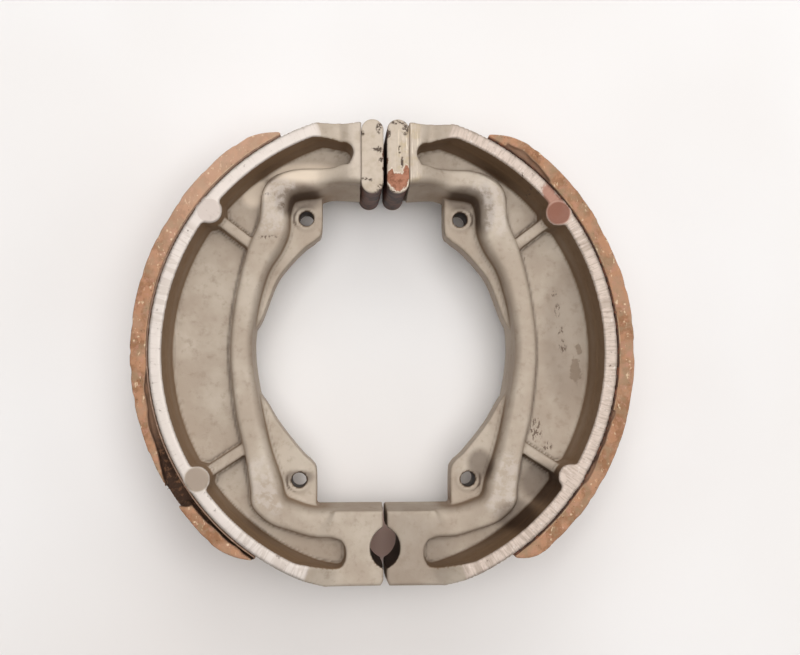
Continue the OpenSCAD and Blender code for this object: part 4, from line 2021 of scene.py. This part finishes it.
@dataclass
class BrakeShoe:
    """One shoe: casting, lining, adhesive and cam plate, all riding on one body."""

    side: Side
    sizes: ShoeSizes
    pieces: list[bpy.types.Object] = field(default_factory=list)

    @property
    def body(self) -> str:
        """Name of the body that the shoe's pieces ride on."""
        return f"{self.side.value}_shoe"

    def settle(self, points: Array, node: str) -> Array:
        """Moves points from the right shoe's place to this shoe's, in metres.

        Args:
            points: The points in millimetres.
            node: The frame's node whose box the points stay inside.

        Returns:
            The placed points.
        """
        placed = points.copy()
        if self.side is Side.LEFT:
            placed[:, 0] *= -1
        low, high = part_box(node)
        return np.clip(placed * MM, np.array(low), np.array(high))

    def dress(self, piece: bpy.types.Object, finish: object, part: str) -> None:
        """Gives a piece its finish and its place in the frame.

        Args:
            piece: The mesh object.
            finish: The finish, which builds its own material.
            part: The kind of frame node that the piece stands for.
        """
        piece.data.materials.append(finish.material())
        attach(piece, self.body)
        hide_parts(f"{part}_{self.side.value}")
        self.pieces.append(piece)
        LOG.info("%s: %d faces", piece.name, len(piece.data.polygons))

    def build_solid(self, solid: Solid, name: str, node: str) -> bpy.types.Object:
        """Turns a solid into a mesh in this shoe's place.

        Args:
            solid: The solid.
            name: The piece's name.
            node: The frame's node that it stands for.

        Returns:
            The mesh object.
        """
        skin = solid.skin()
        faces = skin.faces
        if self.side is Side.LEFT:
            faces = faces[:, ::-1]
        return mesh_object(name, self.settle(skin.points, node), faces, solid.marks(skin))

    def build_casting(self) -> None:
        """Casts the shoe."""
        side = self.side.value
        casting = Casting(self.sizes, self.side)
        piece = self.build_solid(casting, f"cast_shoe_{side}", f"shoe_{side}")
        sign = 1 if self.side is Side.RIGHT else -1
        centre = -sign * self.sizes.closed_shift * MM
        finish = CastAluminium(f"cast aluminium {side}", centre, self.side, casting.discs())
        self.dress(piece, finish, "shoe")

    def build_lining(self) -> None:
        """Moulds the lining."""
        side = self.side.value
        piece = self.build_solid(Lining(self.sizes, self.side), f"brake_lining_{side}", f"lining_{side}")
        self.dress(piece, FrictionMaterial(f"friction material {side}"), "lining")

    def build_plate(self) -> None:
        """Cuts the cam plate."""
        side = self.side.value
        piece = self.build_solid(CamPlate(self.sizes, self.side), f"wear_plate_{side}", f"cam_plate_{side}")
        finish = PlateSteel(f"plate steel {side}", self.side)
        self.dress(piece, finish, "cam_plate")

    def bond_grid(self) -> Array:
        """Lays out the adhesive's ragged section at every step along the arc.

        Returns:
            The points in rows that run round the section, inner face first, in millimetres.
        """
        s = self.sizes
        seed = 3 if self.side is Side.RIGHT else 9
        turns = np.radians(np.linspace(s.lining_low_a + 0.3, s.lining_top_a - 0.3, 261))
        arc = turns * s.rim_r
        still = np.zeros_like(arc)
        sag = BOND_SAG[self.side] * (1.15 + lumps(arc, still, still, 1.7, seed))
        rows = []
        levels = np.linspace(0, 1, 15)
        for radius, order in ((s.rim_r + BOND_INSET, 1), (s.lining_in - BOND_INSET, -1)):
            for share in levels[::order]:
                z = sag + share * (s.width - 2 * sag)
                thick = radius + 0.015 * lumps(arc, still, z, 1.2, seed + 1)
                row = [thick * np.cos(turns) - s.closed_shift, thick * np.sin(turns), z]
                rows.append(np.stack(row, axis=1))
        return np.stack(rows)

    def build_bond(self) -> None:
        """Spreads the adhesive as a closed ragged strip."""
        side = self.side.value
        grid = self.bond_grid()
        faces = strip_faces(*grid.shape[:2])
        if self.side is Side.LEFT:
            faces = faces[:, ::-1]
        points = self.settle(grid.reshape(-1, 3), f"bond_{side}")
        piece = mesh_object(f"adhesive_{side}", points, faces[:, ::-1], {})
        finish = CuredAdhesive(f"cured adhesive {side}", *BOND_COLOURS[self.side])
        self.dress(piece, finish, "bond")

    def build(self) -> None:
        """Builds and dresses every piece of the shoe."""
        self.build_casting()
        self.build_lining()
        self.build_bond()
        self.build_plate()


@dataclass
class Studio:
    """Pale floor, soft light and the camera."""

    pin_y: float
    floor_size: float = 3.0
    floor_points: int = 9
    eye: tuple[float, float, float] = (-0.01339, -0.00929, 0.30842)
    right: tuple[float, float, float] = (0.99818, -0.00220, 0.06028)
    up: tuple[float, float, float] = (-0.00107, 0.99854, 0.05410)
    lens: float = 51.07
    sensor: float = 36.0

    def lay_floor(self) -> None:
        """Lays the floor that the pair rests on."""
        half = self.floor_size / 2
        count = self.floor_points
        steps = np.linspace(-half, half, count)
        points = np.array([(x, y, 0.0) for y in steps for x in steps])
        corners = (r * count + c for r, c in product(range(count - 1), repeat=2))
        faces = [(first, first + 1, first + count + 1, first + count) for first in corners]
        floor = mesh_object("floor", points, faces, {})
        floor.data.materials.append(PaleSurface("pale board", self.pin_y).material())
        LOG.info("floor: %d faces", len(floor.data.polygons))

    def hang_lights(self) -> None:
        """Hangs the soft lights over the floor."""
        for name, place, size, power in (
            ("overhead", (0.08, 0.08, 1.1), 1.0, 9.6),
            ("window", (0.05, 1.1, 0.9), 0.7, 4.8),
            ("left_fill", (-1.0, -0.1, 0.6), 0.6, 1.2),
            ("right_fill", (1.0, 0.1, 0.6), 0.6, 1.8),
        ):
            data = bpy.data.lights.new(name, "AREA")
            data.shape = "SQUARE"
            data.size = size
            data.energy = power
            data.color = (1.0, 0.985, 0.97)
            lamp = bpy.data.objects.new(name, data)
            lamp.location = place
            lamp.rotation_euler = (-Vector(place)).to_track_quat("-Z", "Y").to_euler()
            bpy.context.scene.collection.objects.link(lamp)
            LOG.info("light %s", name)
        world = bpy.data.worlds.new("room")
        world.use_nodes = True
        world.node_tree.nodes["Background"].inputs["Color"].default_value = (1.0, 0.97, 0.95, 1.0)
        world.node_tree.nodes["Background"].inputs["Strength"].default_value = 0.2
        bpy.context.scene.world = world

    def set_camera(self) -> None:
        """Stands the camera above the hub, leaning slightly."""
        data = bpy.data.cameras.new("camera")
        data.lens = self.lens
        data.sensor_width = self.sensor
        data.clip_start = 0.01
        right, up = Vector(self.right), Vector(self.up)
        back = right.cross(up)
        turn = Matrix((right, up, back)).transposed().to_4x4()
        camera = bpy.data.objects.new("camera", data)
        camera.matrix_world = Matrix.Translation(self.eye) @ turn
        bpy.context.scene.collection.objects.link(camera)
        bpy.context.scene.camera = camera
        bpy.context.scene.view_settings.view_transform = "Standard"
        LOG.info("camera at %s", self.eye)

    def build(self) -> None:
        """Builds the whole setting."""
        self.set_camera()
        self.lay_floor()
        self.hang_lights()


def main() -> None:
    """Builds the setting and both shoes, and writes down how large they came out."""
    logging.basicConfig(level=logging.INFO, format="%(name)s: %(message)s")
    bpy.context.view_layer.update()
    sizes = ShoeSizes.from_frame()
    Studio(sizes.pin_y).build()
    for side in Side:
        shoe = BrakeShoe(side, sizes)
        shoe.build()
        LOG.info("%s: %d pieces", shoe.body, len(shoe.pieces))


if __name__ == "__main__":
    main()
